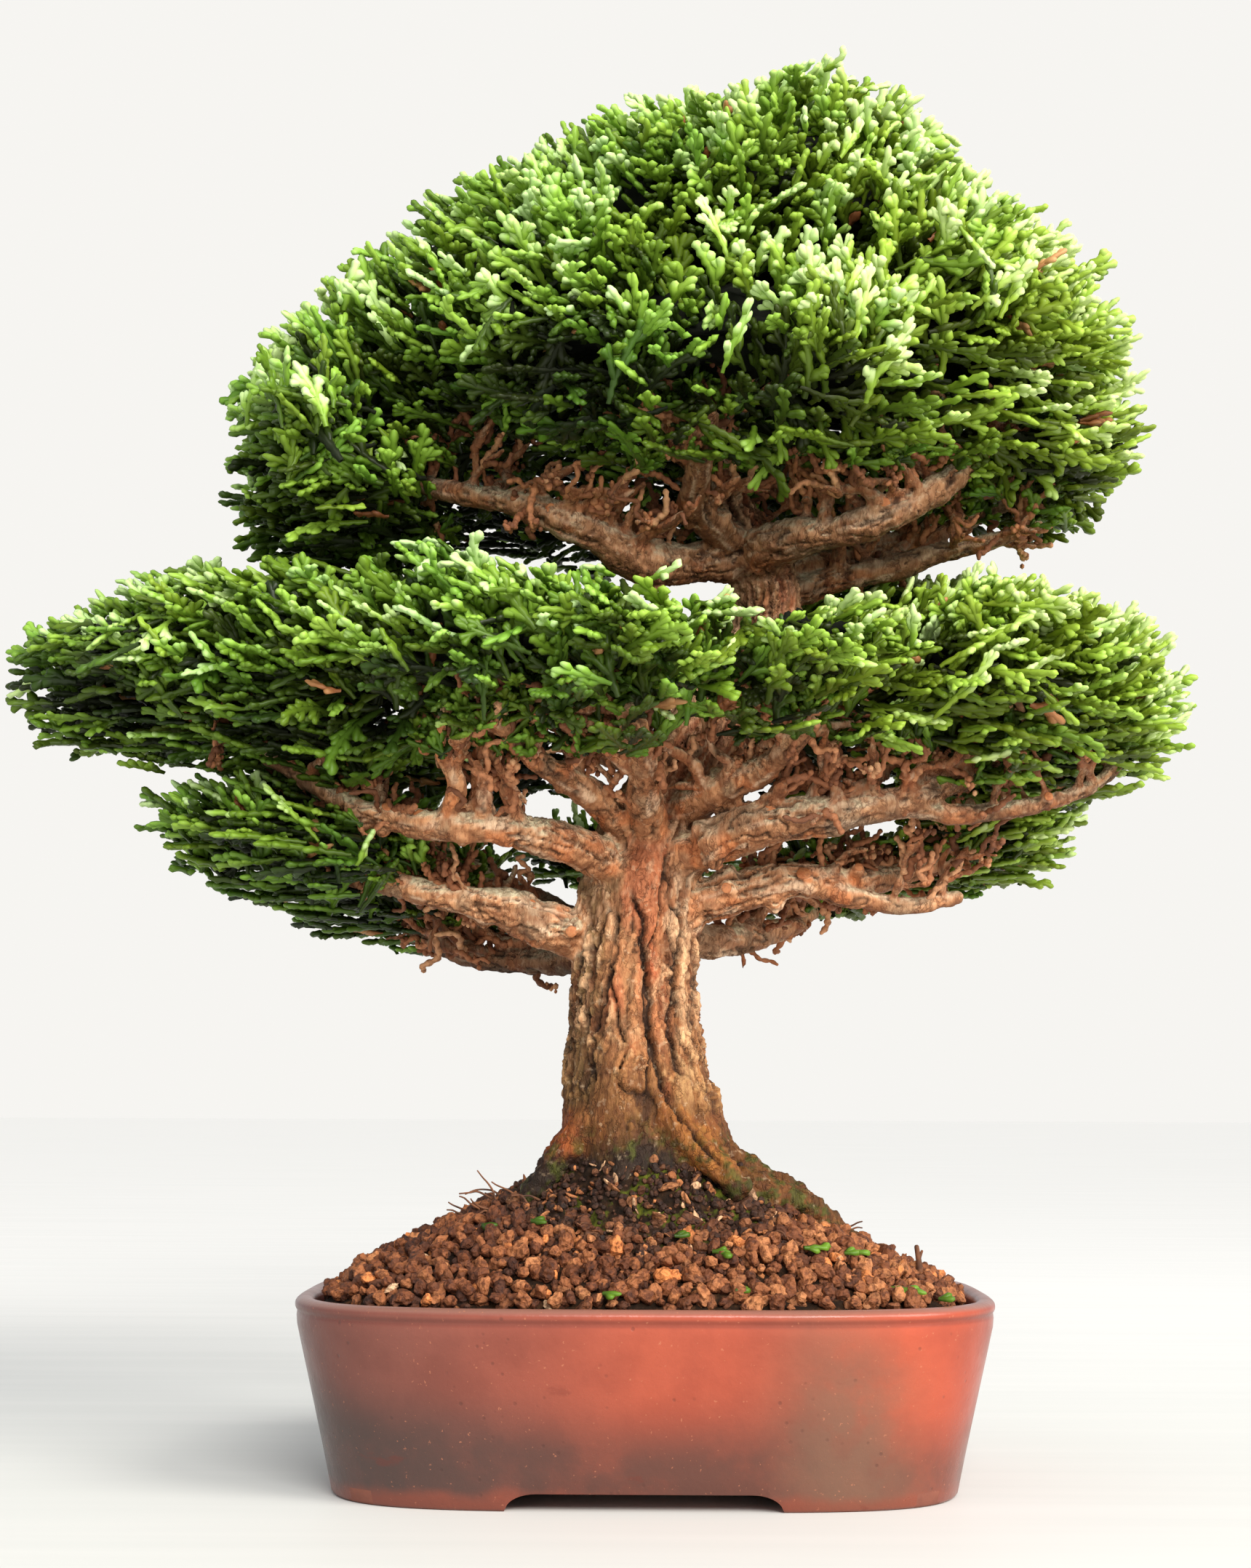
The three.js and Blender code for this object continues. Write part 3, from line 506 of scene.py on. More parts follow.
def glaze_material():
    m = Nodes("glaze")
    p = m.object_coords()
    sep = m.node("ShaderNodeSeparateXYZ", {0: p})
    x = m.math("SUBTRACT", sep.outputs[0], float(SHIFT[0] * MM))
    z = sep.outputs[2]
    broad = m.noise(p, 24.0, 3)
    fine = m.noise(p, 75.0, 5)
    xw = m.math("ADD", x, m.math("MULTIPLY", m.math("SUBTRACT", broad, 0.5), 0.020))
    zw = m.math("ADD", z, m.math("ADD", m.math("MULTIPLY", m.math("SUBTRACT", m.noise(p, 34.0, 2), 0.5), 0.007), m.math("MULTIPLY", m.math("SUBTRACT", fine, 0.5), 0.004)))
    along = m.range(xw, -0.1, 0.1, kind="LINEAR")
    base = m.ramp(along, [(0.0, srgb(104, 62, 54)), (0.2, srgb(122, 68, 56)), (0.36, srgb(144, 70, 52)), (0.5, srgb(168, 77, 53)), (0.62, srgb(168, 76, 52)), (0.72, srgb(154, 76, 54)), (0.86, srgb(182, 78, 50)), (0.95, srgb(164, 74, 52)), (1.0, srgb(134, 70, 54))])
    base = m.mix(m.range(fine, 0.35, 0.7, 0.0, 0.35), base, m.mix(1.0, base, srgb(196, 176, 172), "MULTIPLY"))
    # dark kiln cloud: its height along the wall
    height = m.ramp(along, [(0.0, (0.27,) * 3 + (1,)), (0.14, (0.26,) * 3 + (1,)), (0.3, (0.23,) * 3 + (1,)), (0.45, (0.21,) * 3 + (1,)), (0.6, (0.22,) * 3 + (1,)), (0.72, (0.23,) * 3 + (1,)), (0.86, (0.18,) * 3 + (1,)), (1.0, (0.16,) * 3 + (1,))])
    rel = m.math("SUBTRACT", zw, m.math("MULTIPLY", height, 0.1))
    cloud = m.range(rel, 0.012, -0.009)
    dense = m.ramp(along, [(0.0, (1.0,) * 3 + (1,)), (0.3, (0.95,) * 3 + (1,)), (0.55, (0.92,) * 3 + (1,)), (0.75, (0.86,) * 3 + (1,)), (1.0, (0.75,) * 3 + (1,))])
    cloud = m.math("MULTIPLY", m.math("MULTIPLY", cloud, dense), m.range(fine, 0.25, 0.6, 0.74, 1.0))
    dark = m.ramp(along, [(0.0, srgb(70, 56, 52)), (0.16, srgb(72, 54, 49)), (0.4, srgb(82, 52, 44)), (0.8, srgb(84, 55, 45)), (1.0, srgb(86, 60, 50))])
    col = m.mix(cloud, base, dark)
    # greenish brown vertical patch right of the middle
    green = m.math("MULTIPLY", m.range(m.math("ABSOLUTE", m.math("SUBTRACT", xw, 0.055)), 0.028, 0.002), m.range(zw, 0.060, 0.030))
    col = m.mix(m.math("MULTIPLY", green, m.range(m.noise(p, 140.0, 4), 0.3, 0.6, 0.5, 0.72)), col, srgb(114, 84, 66))
    # foot line; painted shade as a brown band under the lip; painted highlight as a paler lip top
    col = m.mix(m.math("MULTIPLY", m.range(zw, 0.0060, 0.0020), 0.6), col, srgb(136, 64, 44))
    # painted shade: a darker brown band under the lip's overhang
    lip_underside_shade = m.math("MULTIPLY", m.range(z, 0.0484, 0.0494), m.range(z, 0.0514, 0.0505))
    col = m.mix(m.math("MULTIPLY", lip_underside_shade, 0.42), col, srgb(96, 44, 36))
    # painted highlight: the top edge of the lip is paler
    col = m.mix(m.range(z, 0.0518, 0.0530, 0.0, 0.75), col, srgb(136, 100, 88))
    # speckles, stains and pits
    speck = m.noise(p, 900.0, 2)
    col = m.mix(m.range(speck, 0.68, 0.76, 0.0, 0.5), col, srgb(190, 120, 88))
    stain = m.math("MULTIPLY", m.range(m.noise(m.scaled(p, 1, 1, 2.2), 52.0, 5), 0.66, 0.72), m.range(z, 0.045, 0.03))
    col = m.mix(m.math("MULTIPLY", stain, 0.35), col, srgb(104, 40, 28))
    pits = m.node("ShaderNodeTexVoronoi", {"Vector": p, "Scale": 230.0}).outputs["Distance"]
    pit_mask = m.math("MULTIPLY", m.range(pits, 0.17, 0.06), m.range(m.noise(p, 60.0, 2), 0.5, 0.6))
    col = m.mix(m.math("MULTIPLY", pit_mask, 0.35), col, srgb(64, 34, 28))
    m.set(Base_Color=col, Roughness=m.range(fine, 0.3, 0.7, 0.26, 0.38), Specular_IOR_Level=0.36, Coat_Weight=0.12, Coat_Roughness=0.2)
    height = m.math("ADD", m.math("MULTIPLY", m.noise(p, 520.0, 3), 0.7), m.math("SUBTRACT", m.math("MULTIPLY", m.noise(p, 110.0, 2), 0.5), m.math("MULTIPLY", pit_mask, 0.7)))
    m.bump(height, 0.3, 0.0005)
    return m.mat


def clay_material():
    m = Nodes("bare_clay")
    p = m.object_coords()
    col = m.ramp(m.noise(p, 90.0, 4), [(0.3, srgb(112, 62, 48)), (0.7, srgb(142, 82, 62))])
    m.set(Base_Color=col, Roughness=0.7)
    m.bump(m.noise(p, 700.0, 3), 0.25, 0.0004)
    return m.mat


def build_pot():
    n = 320
    wall = 6.2
    outer = [(0.0, -0.9), (0.25, -0.35), (0.9, 0.0), (4, 0), (10, 0), (18, 0.08), (26, 0.2), (34, 0.35), (41, 0.48), (46, 0.56), (48.4, 0.56), (49.1, 0.5), (49.6, 0.46), (50.0, 0.56), (50.4, 0.82), (50.9, 1.02), (51.5, 1.08), (52.1, 0.98), (52.6, 0.66), (53.1, 0.06), (53.4, -0.66), (53.5, -1.5)]
    rings = [pot_plan(z, o, n) for z, o in outer]
    lip_in = [(53.42, -2.5), (53.1, -3.3), (52.4, -4.0), (51.2, -4.5), (48.0, -4.9), (40, -6.2), (25, -6.2), (15, -6.2), (12.4, -6.6), (11.2, -7.8), (11.0, -9.6)]
    rings += [pot_plan(z, o, n) for z, o in lip_in]
    v, q = loft(rings)
    last = len(rings) - 1
    body = solid_from(v, q, [tuple(range(n - 1, -1, -1)), tuple(last * n + i for i in range(n))])
    cutters = []
    # underside recess
    r = [plan(BASE_X - 9, BASE_Y - 9, -3, 4, 160), plan(BASE_X - 9, BASE_Y - 9, 4.2, 4, 160), plan(BASE_X - 9.8, BASE_Y - 9.8, 4.8, 4, 160)]
    rv, rq = loft(r)
    cutters.append(solid_from(rv, rq, [tuple(range(159, -1, -1)), tuple(320 + i for i in range(160))]))
    # cut-out between the feet
    side = [(37.8, -3.0), (37.3, 0.0), (36.9, 0.9)]
    for k in range(1, 9):
        a = k / 8 * math.pi / 2
        side.append((36.9 - 6.6 * (1 - math.cos(a)) - 1.6 * k / 8, 0.9 + 3.9 * math.sin(a)))
    outline = [(x, z) for x, z in side] + [(-x, z) for x, z in reversed(side)]
    m = len(outline)
    sv = np.array([[x, y, z] for y in (-90.0, 90.0) for x, z in outline])
    i = np.arange(m)
    sq = np.stack([i, i + m, (i + 1) % m + m, (i + 1) % m], -1)
    cutters.append(solid_from(sv, sq, [tuple(range(m)), tuple(range(2 * m - 1, m - 1, -1))]))
    for x in (-38.0, 38.0):
        a = np.arange(64) / 64 * 2 * np.pi
        hv = np.vstack([np.stack([x + 7 * np.cos(a), 7 * np.sin(a), np.full(64, z)], -1) for z in (-3.0, 20.0)])
        i = np.arange(64)
        hq = np.stack([i, (i + 1) % 64, (i + 1) % 64 + 64, i + 64], -1)
        cutters.append(solid_from(hv, hq, [tuple(range(63, -1, -1)), tuple(range(64, 128))]))
    for c in cutters:
        mod = body.modifiers.new("cut", "BOOLEAN")
        mod.operation = "DIFFERENCE"
        mod.solver = "EXACT"
        mod.object = c
    bev = body.modifiers.new("bevel", "BEVEL")
    bev.width = 0.0005
    bev.segments = 2
    bev.limit_method = "ANGLE"
    bev.angle_limit = math.radians(38)
    bev.use_clamp_overlap = True
    me = evaluated(body, "pot_glazed")
    for c in cutters + [body]:
        bpy.data.objects.remove(c)
    me.name = "pot_glazed"
    me.materials.clear()
    me.materials.append(glaze_material())
    me.materials.append(clay_material())
    me.polygons.foreach_set("use_smooth", np.ones(len(me.polygons), bool))
    centre = np.empty(len(me.polygons) * 3)
    normal = np.empty(len(me.polygons) * 3)
    me.polygons.foreach_get("center", centre)
    me.polygons.foreach_get("normal", normal)
    centre, normal = centre.reshape(-1, 3) / MM - SHIFT, normal.reshape(-1, 3)
    inside_ring = (np.abs(centre[:, 0]) < BASE_X - 8.5) & (np.abs(centre[:, 1]) < BASE_Y - 8.5)
    under = (centre[:, 2] < 4.9) & inside_ring | (normal[:, 2] < -0.8) & (centre[:, 2] < 5.2)
    shank = (centre[:, 2] < 10.9) & (np.hypot(np.abs(centre[:, 0]) - 38, centre[:, 1]) < 9)
    me.polygons.foreach_set("material_index", np.where(under | shank, 1, 0).astype(np.int32))
    o = bpy.data.objects.new("pot_glazed", me)
    bpy.context.scene.collection.objects.link(o)
    me.set_sharp_from_angle(angle=math.radians(50))
    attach(o, "root")
    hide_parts("pot")


def build_screens():
    m = Nodes("screen_mesh")
    m.set(Base_Color=srgb(30, 32, 31), Roughness=0.55)
    for side, x0 in (("left", -38.0), ("right", 38.0)):
        parts = []
        for k in range(13):
            u = -12 + 0.35 + k * (23.3 / 12)
            for along_x in (0, 1):
                z = 11.6 if along_x else 11.95
                c = np.array([x0, u, z]) if along_x else np.array([x0 + u, 0, z])
                h = np.array([12, 0.3, 0.18]) if along_x else np.array([0.3, 12, 0.18])
                v = c + h * np.array([[sx, sy, sz] for sz in (-1, 1) for sy in (-1, 1) for sx in (-1, 1)])
                f = np.array([[0, 2, 3], [0, 3, 1], [4, 5, 7], [4, 7, 6], [0, 1, 5], [0, 5, 4], [2, 6, 7], [2, 7, 3], [0, 4, 6], [0, 6, 2], [1, 3, 7], [1, 7, 5]])
                parts.append((v, f))
        v, f, _ = join(parts)
        o = mesh_piece("screen_mesh_" + side, v, f, m.mat, flat=True)
        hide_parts("drain_screen_" + side)


build_pot()
build_screens()


# ------------------------------------------------------------------ soil
def mound_height(x, y):
    hx, hy = RIM_X - 7.8, RIM_Y - 7.8
    share = np.full(np.shape(x), 0.5)
    for _ in range(6):  # the outline's squareness depends on the share itself
        e = 2.3 + 1.3 * share
        share = (np.abs(x / hx) ** e + np.abs(y / hy) ** e) ** (1 / e)
        share = np.clip(share, 0, 1.2)
    s = np.array([p[0] for p in SOIL_PROFILE])[::-1]
    z = np.array([p[1] for p in SOIL_PROFILE])[::-1]
    return np.interp(share, s, z) + mound_lean(x, share), share


def mound_lean(x, share):
    """The heap stands a little higher on the left."""
    return -1.5 * x / 92 * smooth(1.0, 0.85, share)


def geodesic(divisions):
    import bmesh

    bm = bmesh.new()
    bmesh.ops.create_icosphere(bm, subdivisions=divisions, radius=1.0)
    v = np.array([p.co[:] for p in bm.verts])
    f = np.array([[q.index for q in g.verts] for g in bm.faces])
    bm.free()
    return v, f


def grain_templates(count, divisions, seed):
    v0, f0 = geodesic(divisions)
    out = []
    for k in range(count):
        rng = np.random.default_rng(seed + k)
        v = v0 * (1 + 0.30 * noise(v0 * 1.1 + k * 7.7, seed + k)[:, None] + 0.20 * noise(v0 * 2.3 + k * 3.1, seed + 40 + k)[:, None])
        for _ in range(5):  # knocked-off facets
            n = unit(rng.normal(size=3))
            d = rng.uniform(0.6, 0.9)
            over = np.maximum(v @ n - d, 0)
            v = v - over[:, None] * n * 0.9
        if divisions > 2:
            v = v * (1 + 0.11 * noise(v * 4.2 + k, seed + 90)[:, None] + 0.07 * noise(v * 8.5 + k, seed + 95)[:, None])
        v = v * np.array([1.08, rng.uniform(0.7, 0.95), rng.uniform(0.6, 0.85)])
        out.append((v, f0))
    return out


def random_rotations(n, rng):
    q = unit(rng.normal(size=(n, 4)))
    w, x, y, z = q.T
    return np.stack(
        [
            np.stack([1 - 2 * (y * y + z * z), 2 * (x * y - z * w), 2 * (x * z + y * w)], -1),
            np.stack([2 * (x * y + z * w), 1 - 2 * (x * x + z * z), 2 * (y * z - x * w)], -1),
            np.stack([2 * (x * z - y * w), 2 * (y * z + x * w), 1 - 2 * (x * x + y * y)], -1),
        ],
        1,
    )


def scatter(templates, pick, place, rotation, scale, per_item):
    """Joins copies of templates. per_item values are spread to every vertex of the copy."""
    parts = []
    for t, tpl in enumerate(templates):
        idx = np.flatnonzero(pick == t)
        if not len(idx):
            continue
        v, f = tpl[0], tpl[1]
        nv = len(v)
        world = np.einsum("nij,vj->nvi", rotation[idx] * scale[idx][:, None, None], v) + place[idx][:, None]
        faces = f[None] + (np.arange(len(idx)) * nv)[:, None, None]
        att = {k: np.repeat(a[idx], nv) for k, a in per_item.items()}
        for k, a in (tpl[2] if len(tpl) > 2 else {}).items():
            att[k] = np.tile(a, len(idx))
        parts.append((world.reshape(-1, 3), faces.reshape(-1, 3), att))
    return join(parts)


def grain_material():
    m = Nodes("grit")
    p = m.object_coords()
    tone = m.attribute("tone")
    shade = m.attribute("shade")
    col = m.ramp(tone, [(0.0, srgb(70, 34, 16)), (0.3, srgb(122, 68, 36)), (0.6, srgb(166, 102, 60)), (0.82, srgb(196, 130, 82)), (0.95, srgb(222, 128, 60)), (1.0, srgb(232, 190, 148))])
    # the shade attribute darkens a grain; for the grit it carries painted shade on the lower layer
    col = m.mix(m.range(shade, 0.0, 1.0, 0.0, 0.85), col, srgb(30, 18, 10))
    col = m.mix(m.range(m.noise(p, 620.0, 4), 0.45, 0.66, 0.0, 0.72), col, m.mix(1.0, col, srgb(120, 92, 72), "MULTIPLY"))
    m.set(Base_Color=col, Roughness=0.72, Specular_IOR_Level=0.4)
    m.bump(m.math("ADD", m.noise(p, 1000.0, 4), m.math("MULTIPLY", m.node("ShaderNodeTexVoronoi", {"Vector": p, "Scale": 620.0}).outputs["Distance"], 1.2)), 0.9, 0.0009)
    return m.mat


def humus_material():
    m = Nodes("humus")
    p = m.object_coords()
    moss = m.attribute("moss")
    col = m.ramp(m.noise(p, 330.0, 5), [(0.3, srgb(18, 11, 6)), (0.55, srgb(40, 25, 13)), (0.72, srgb(78, 50, 28))])
    green = m.ramp(m.noise(p, 500.0, 3), [(0.3, srgb(38, 44, 10)), (0.75, srgb(98, 102, 26))])
    col = m.mix(m.math("MULTIPLY", moss, m.range(m.noise(p, 150.0, 3), 0.5, 0.58)), col, green)
    m.set(Base_Color=col, Roughness=0.95, Specular_IOR_Level=0.2)
    m.bump(m.noise(p, 1300.0, 4), 0.8, 0.0009)
    return m.mat


def near_trunk(x, y):
    return np.hypot((x - 2) / 1.25, y + 2)


def humus_rise(x, y):
    """Dark moss and humus banked up against the foot of the trunk."""
    wide = np.where(x < 0, 0.9, 1.3)
    return 8.5 * smooth(40, 24, np.hypot(x / wide, y)) * (1 - 0.3 * smooth(8, 26, x))


def build_soil():
    # base skin, down the inside of the wall and across the mound
    n = 420
    hx, hy = RIM_X - 7.8, RIM_Y - 7.8
    rings = [plan(84.0, 55.0, 12.6, 4, n), plan(hx - 5.2, hy - 5.2, 26, 3.8, n), plan(hx - 1.6, hy - 1.6, 44, 3.7, n)]
    for share in np.linspace(1.0, 0.1, 130):
        r = plan(hx * share, hy * share, 0, 2.3 + 1.3 * share, n)
        h = np.interp(share, [p[0] for p in SOIL_PROFILE][::-1], [p[1] for p in SOIL_PROFILE][::-1])
        q = np.c_[r[:, :2], np.full(n, 0.0)]
        close = smooth(48, 30, near_trunk(r[:, 0], r[:, 1]))
        bump = fbm(q * 0.16, 3, 5) * (0.8 + 2.4 * close) + fbm(q * 0.6, 3, 8) * (0.5 + 1.6 * close)
        r[:, 2] = h + mound_lean(r[:, 0], share) - 3.0 + bump + 1.8 * close + humus_rise(r[:, 0], r[:, 1])
        rings.append(r)
    v, q = loft(rings)
    c = np.array([[0.0, 0.0, 88.0], [0.0, 0.0, 12.6]])
    v = np.vstack([v, c])
    t = np.vstack([q[:, [0, 1, 2]], q[:, [0, 2, 3]]])
    i = np.arange(n)
    last = (len(rings) - 1) * n
    t = np.vstack([t, np.stack([last + i, last + (i + 1) % n, np.full(n, len(v) - 2)], -1), np.stack([(i + 1) % n, i, np.full(n, len(v) - 1)], -1)])
    close = smooth(50, 30, near_trunk(v[:, 0], v[:, 1]))
    base = mesh_piece("soil_body", v, t, humus_material(), {"moss": close})
    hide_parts("soil")

    # granules in jittered rows, two layers
    grit = grain_material()
    rng = np.random.default_rng(77)
    pts = []
    for layer, (step, lift, size) in enumerate(((4.1, -2.5, 4.7), (4.1, -0.9, 4.8))):
        ys = np.arange(-64, 64, step * 0.87)
        for r, y in enumerate(ys):
            xs = np.arange(-94, 94, step) + (r % 2) * step / 2 + layer * 1.7
            for x in xs:
                px, py = x + rng.uniform(-1.5, 1.5), y + rng.uniform(-1.5, 1.5)
                pts.append((px, py, lift, size * rng.choice([0.62, 0.78, 0.9, 1.0, 1.0, 1.1, 1.28]), layer))
    pts = np.array(pts)
    h, share = mound_height(pts[:, 0], pts[:, 1])
    d = near_trunk(pts[:, 0], pts[:, 1])
    keep = (share < 0.985) & (rng.random(len(pts)) < np.where(pts[:, 4] == 1, smooth(28, 42, d + 6 * fbm(pts[:, :3] * 0.12, 2, 3)), smooth(26, 36, d)) * 1.05)
    pts, h, share, d = pts[keep], h[keep], share[keep], d[keep]
    place = np.stack([pts[:, 0], pts[:, 1], h + pts[:, 2] + rng.uniform(-1.0, 1.0, len(pts)) + 0.35 * humus_rise(pts[:, 0], pts[:, 1])], -1)
    # painted light: the grains grow lighter towards the right, the side the light comes from
    tone = np.clip(rng.beta(1.9, 2.5, len(pts)) * 0.85 + 0.03 + 0.12 * (pts[:, 0] / 92), 0, 0.88)
    special = rng.random(len(pts))
    tone[special < 0.03] = 0.955
    tone[special > 0.994] = 1.0
    # painted shade: grains of the lower layer, sunk among the upper ones, are darker; grains nearer the trunk are
    # darker too
    shade = np.clip(smooth(50, 30, d) * 0.9 + np.where(pts[:, 4] == 0, 0.45, 0.0), 0, 1) * rng.uniform(0.5, 1.0, len(pts))
    top = grain_templates(16, 3, 500)
    pick = rng.integers(0, len(top), len(pts))
    rot = random_rotations(len(pts), rng)
    scale = pts[:, 3] * 0.5
    groups = [(pts[:, 0] < -20), (pts[:, 0] >= -20) & (pts[:, 0] < 20), (pts[:, 0] >= 20)]
    for k, sel in enumerate(groups):
        for layer in (0, 1):
            both = sel & (pts[:, 4] == layer)
            v, f, att = scatter(top, np.where(both, pick, -1), place, rot, scale, {"tone": tone, "shade": shade})
            att["tone"] = np.clip(att["tone"] + np.where(att["tone"] < 0.93, 0.10 * noise(v * 0.55, 11) + 0.08 * noise(v * 1.7, 12), 0), 0, 1)
            o = mesh_piece("grit_" + ("left", "middle", "right")[k] + ("_lower", "_upper")[layer], v, f, grit, att)

    # fine dark crumbs and chips near the trunk
    small = grain_templates(8, 2, 900)
    m = 5200
    a = rng.uniform(0, 2 * np.pi, m)
    rr = 20 + 33 * rng.random(m) ** 0.8
    x, y = 2 + rr * 1.25 * np.cos(a), -2 + rr * np.sin(a)
    h, share = mound_height(x, y)
    ok = share < 0.93
    x, y, h, rr = x[ok], y[ok], h[ok], rr[ok]
    q = np.stack([x, y, 0 * x], -1)
    close = smooth(48, 30, near_trunk(x, y))
    h = h - 3.0 + fbm(q * 0.16, 3, 5) * (0.8 + 2.4 * close) + fbm(q * 0.6, 3, 8) * (0.5 + 1.6 * close) + 1.8 * close + humus_rise(x, y)
    size = rng.uniform(1.0, 3.0, len(x))
    place = np.stack([x, y, h + rng.uniform(-0.2, 1.2, len(x))], -1)
    tone = 0.8 * rng.beta(1.5, 3.4, len(x))
    special = rng.random(len(x))
    tone[special < 0.05] = 0.86
    shade = rng.uniform(0.65, 1.0, len(x)) * smooth(64, 38, rr)
    shade[special < 0.05] = 0.3
    v, f, att = scatter(small, rng.integers(0, 8, len(x)), place, random_rotations(len(x), rng), size * 0.5, {"tone": tone, "shade": shade})
    # flat chips of bark and husk, mostly in front of the trunk
    chips = []
    for k in range(10):
        c0, cf = geodesic(2)
        crng = np.random.default_rng(1300 + k)
        c = c0 * (1 + 0.35 * noise(c0 * 1.3 + k * 5.1, 1300 + k)[:, None]) * np.array([1.0, crng.uniform(0.4, 0.75), crng.uniform(0.12, 0.24)])
        c[:, 2] += 0.3 * c[:, 0] ** 2 * crng.uniform(-1, 1)
        chips.append((c, cf))
    m = 170
    a = rng.uniform(np.pi, 2 * np.pi, m)
    rr = 22 + 20 * rng.random(m)
    cx, cy = 6 + rr * 1.35 * np.cos(a), -1 + rr * np.sin(a)
    marks = np.array([(3.7, -37.1), (25.1, -38.7), (6.9, -30.9), (34.3, -18.1), (30.0, -24.0), (12.0, -33.0), (-3.0, -34.0), (38.0, -24.0)])
    cx, cy = np.r_[cx, marks[:, 0]], np.r_[cy, marks[:, 1]]
    big = np.r_[rng.uniform(1.0, 2.3, m), rng.uniform(2.4, 3.4, len(marks))]
    ch, cshare = mound_height(cx, cy)
    cq = np.stack([cx, cy, 0 * cx], -1)
    cclose = smooth(48, 30, near_trunk(cx, cy))
    ch = ch - 2.2 + fbm(cq * 0.16, 3, 5) * (0.8 + 2.4 * cclose) + 1.8 * cclose + humus_rise(cx, cy)
    cn = len(cx)
    crot = random_rotations(cn, rng)
    cv2, cf2, catt = scatter(chips, rng.integers(0, 10, cn), np.stack([cx, cy, ch + rng.uniform(0.0, 1.2, cn)], -1), crot, big, {"tone": np.where(rng.random(cn) < 0.2, 0.99, np.clip(rng.normal(0.70, 0.1, cn), 0.4, 0.84)), "shade": rng.uniform(0.05, 0.55, cn)})
    v, f, att = join([(v, f, att), (cv2, cf2, catt)])
    o = mesh_piece("crumbs", v, f, grit, att)

    # wiry roots, a stray twig
    wires = []
    def surface(x, y):
        h, _ = mound_height(np.array([x]), np.array([y]))
        return float(h[0] + humus_rise(np.array([x]), np.array([y]))[0]) - 1.5
    spots = [(-36, -16, 10), (-41, -14, 13), (-46, -18, 9), (-33, -20, 8), (-52, -8, 7), (58, -10, 7), (64, -14, 6), (55, -18, 5), (12, -40, 6), (-14, -38, 5), (34, -38, 6), (-30, 20, 8), (40, 24, 7)]
    for x, y, reach in spots:
        for _ in range(3):
            az = rng.uniform(0, 2 * np.pi) if abs(x) < 30 else (rng.uniform(2.2, 4.1) if x < 0 else rng.uniform(-0.9, 0.9))
            p = np.array([x + rng.uniform(-3, 3), y + rng.uniform(-3, 3), 0])
            p[2] = surface(p[0], p[1])
            path = [[*p, 0.42]]
            el = rng.uniform(0.2, 1.1)
            for k in range(5):
                step = reach / 5 * rng.uniform(0.8, 1.3)
                p = p + step * np.array([math.cos(az) * math.cos(el), math.sin(az) * math.cos(el), math.sin(el)])
                az += rng.uniform(-0.5, 0.5)
                el -= rng.uniform(-0.2, 0.55)
                path.append([*p, 0.38 - 0.04 * k])
            wires.append(tube(spline(path, 0.8), 6))
    tx, ty = 78.8, -20.6
    wires.append(tube(spline([[tx, ty, surface(tx, ty) - 1, 1.0], [tx - 0.3, ty, surface(tx, ty) + 4.2, 0.85], [tx - 0.9, ty, surface(tx, ty) + 8.6, 0.7]], 0.7), 8))
    wires.append(tube(spline([[tx - 0.3, ty, surface(tx, ty) + 5.2, 0.6], [tx + 0.6, ty, surface(tx, ty) + 7.4, 0.4]], 0.7), 6))
    v, f, _ = join(wires)
    wm = Nodes("root_wire")
    wm.set(Base_Color=wm.ramp(wm.noise(wm.object_coords(), 300.0, 2), [(0.35, srgb(66, 38, 22)), (0.65, srgb(120, 74, 44))]), Roughness=0.8)
    o = mesh_piece("fine_roots", v, f, wm.mat)


build_soil()


# ------------------------------------------------------------------ wood
def side_branches(rng):
    """Second-order branches that rise from the limbs into the nearest pads, bent and knobbly, most of them forked."""
    out = []
    pads = np.array([p for p in PADS.values()], float)

    def crooked(a, b, r0, r1, sag):
        way = b - a
        reach = np.linalg.norm(way)
        n = max(3, int(reach / 5.0))
        pts = []
        off = np.zeros(3)
        for k in range(n + 1):
            t = k / n
            if 0 < k < n:
                off = off * 0.5 + rng.normal(size=3) * reach * 0.045
            r = (r0 + (r1 - r0) * t) * rng.uniform(0.84, 1.22)
            pts.append([*(a + way * t + (off if k < n else off * 0.4) * min(1.0, 3 * t) + np.array([0, 0, sag * math.sin(math.pi * t)])), r])
        return pts

    for name, limb in list(LIMBS.items()) + [("fork%d" % i, f) for i, f in enumerate(FORKS)]:
        path = spline(limb, 2.0)
        length = len(path) * 2.0
        n = max(3, int(length / 9.5))
        for k in range(n):
            i = int(len(path) * (0.22 + 0.74 * (k + rng.uniform(0.1, 0.9)) / n))
            i = min(i, len(path) - 2)
            p0 = path[i, :3]
            r0 = float(np.clip(path[i, 3] * rng.uniform(0.36, 0.62), 1.2, 2.5))
            gap = np.linalg.norm((pads[:, :3] - p0) / pads[:, 3:6], axis=1)
            pad = pads[np.argsort(gap)[rng.integers(0, 2)]]
            target = pad[:3] + unit(rng.normal(size=3)) * pad[3:6] * rng.uniform(0.3, 0.9)
            target[2] = max(target[2], p0[2] + rng.uniform(-2, 6))
            step = target - p0
            reach = min(np.linalg.norm(step), rng.uniform(12, 34))
            b = crooked(p0, p0 + unit(step) * reach, r0, 1.0, 1.5)
            out.append(b)
            for _ in range(rng.integers(1, 3)):
                q = b[rng.integers(1, len(b) - 1)]
                way = unit(unit(step) * 0.6 + rng.normal(size=3) * 0.65 + np.array([0, 0, 0.15]))
                out.append(crooked(np.array(q[:3]), np.array(q[:3]) + way * rng.uniform(7, 15), max(1.1, q[3] * 0.8), 0.9, 0.0))
    return out


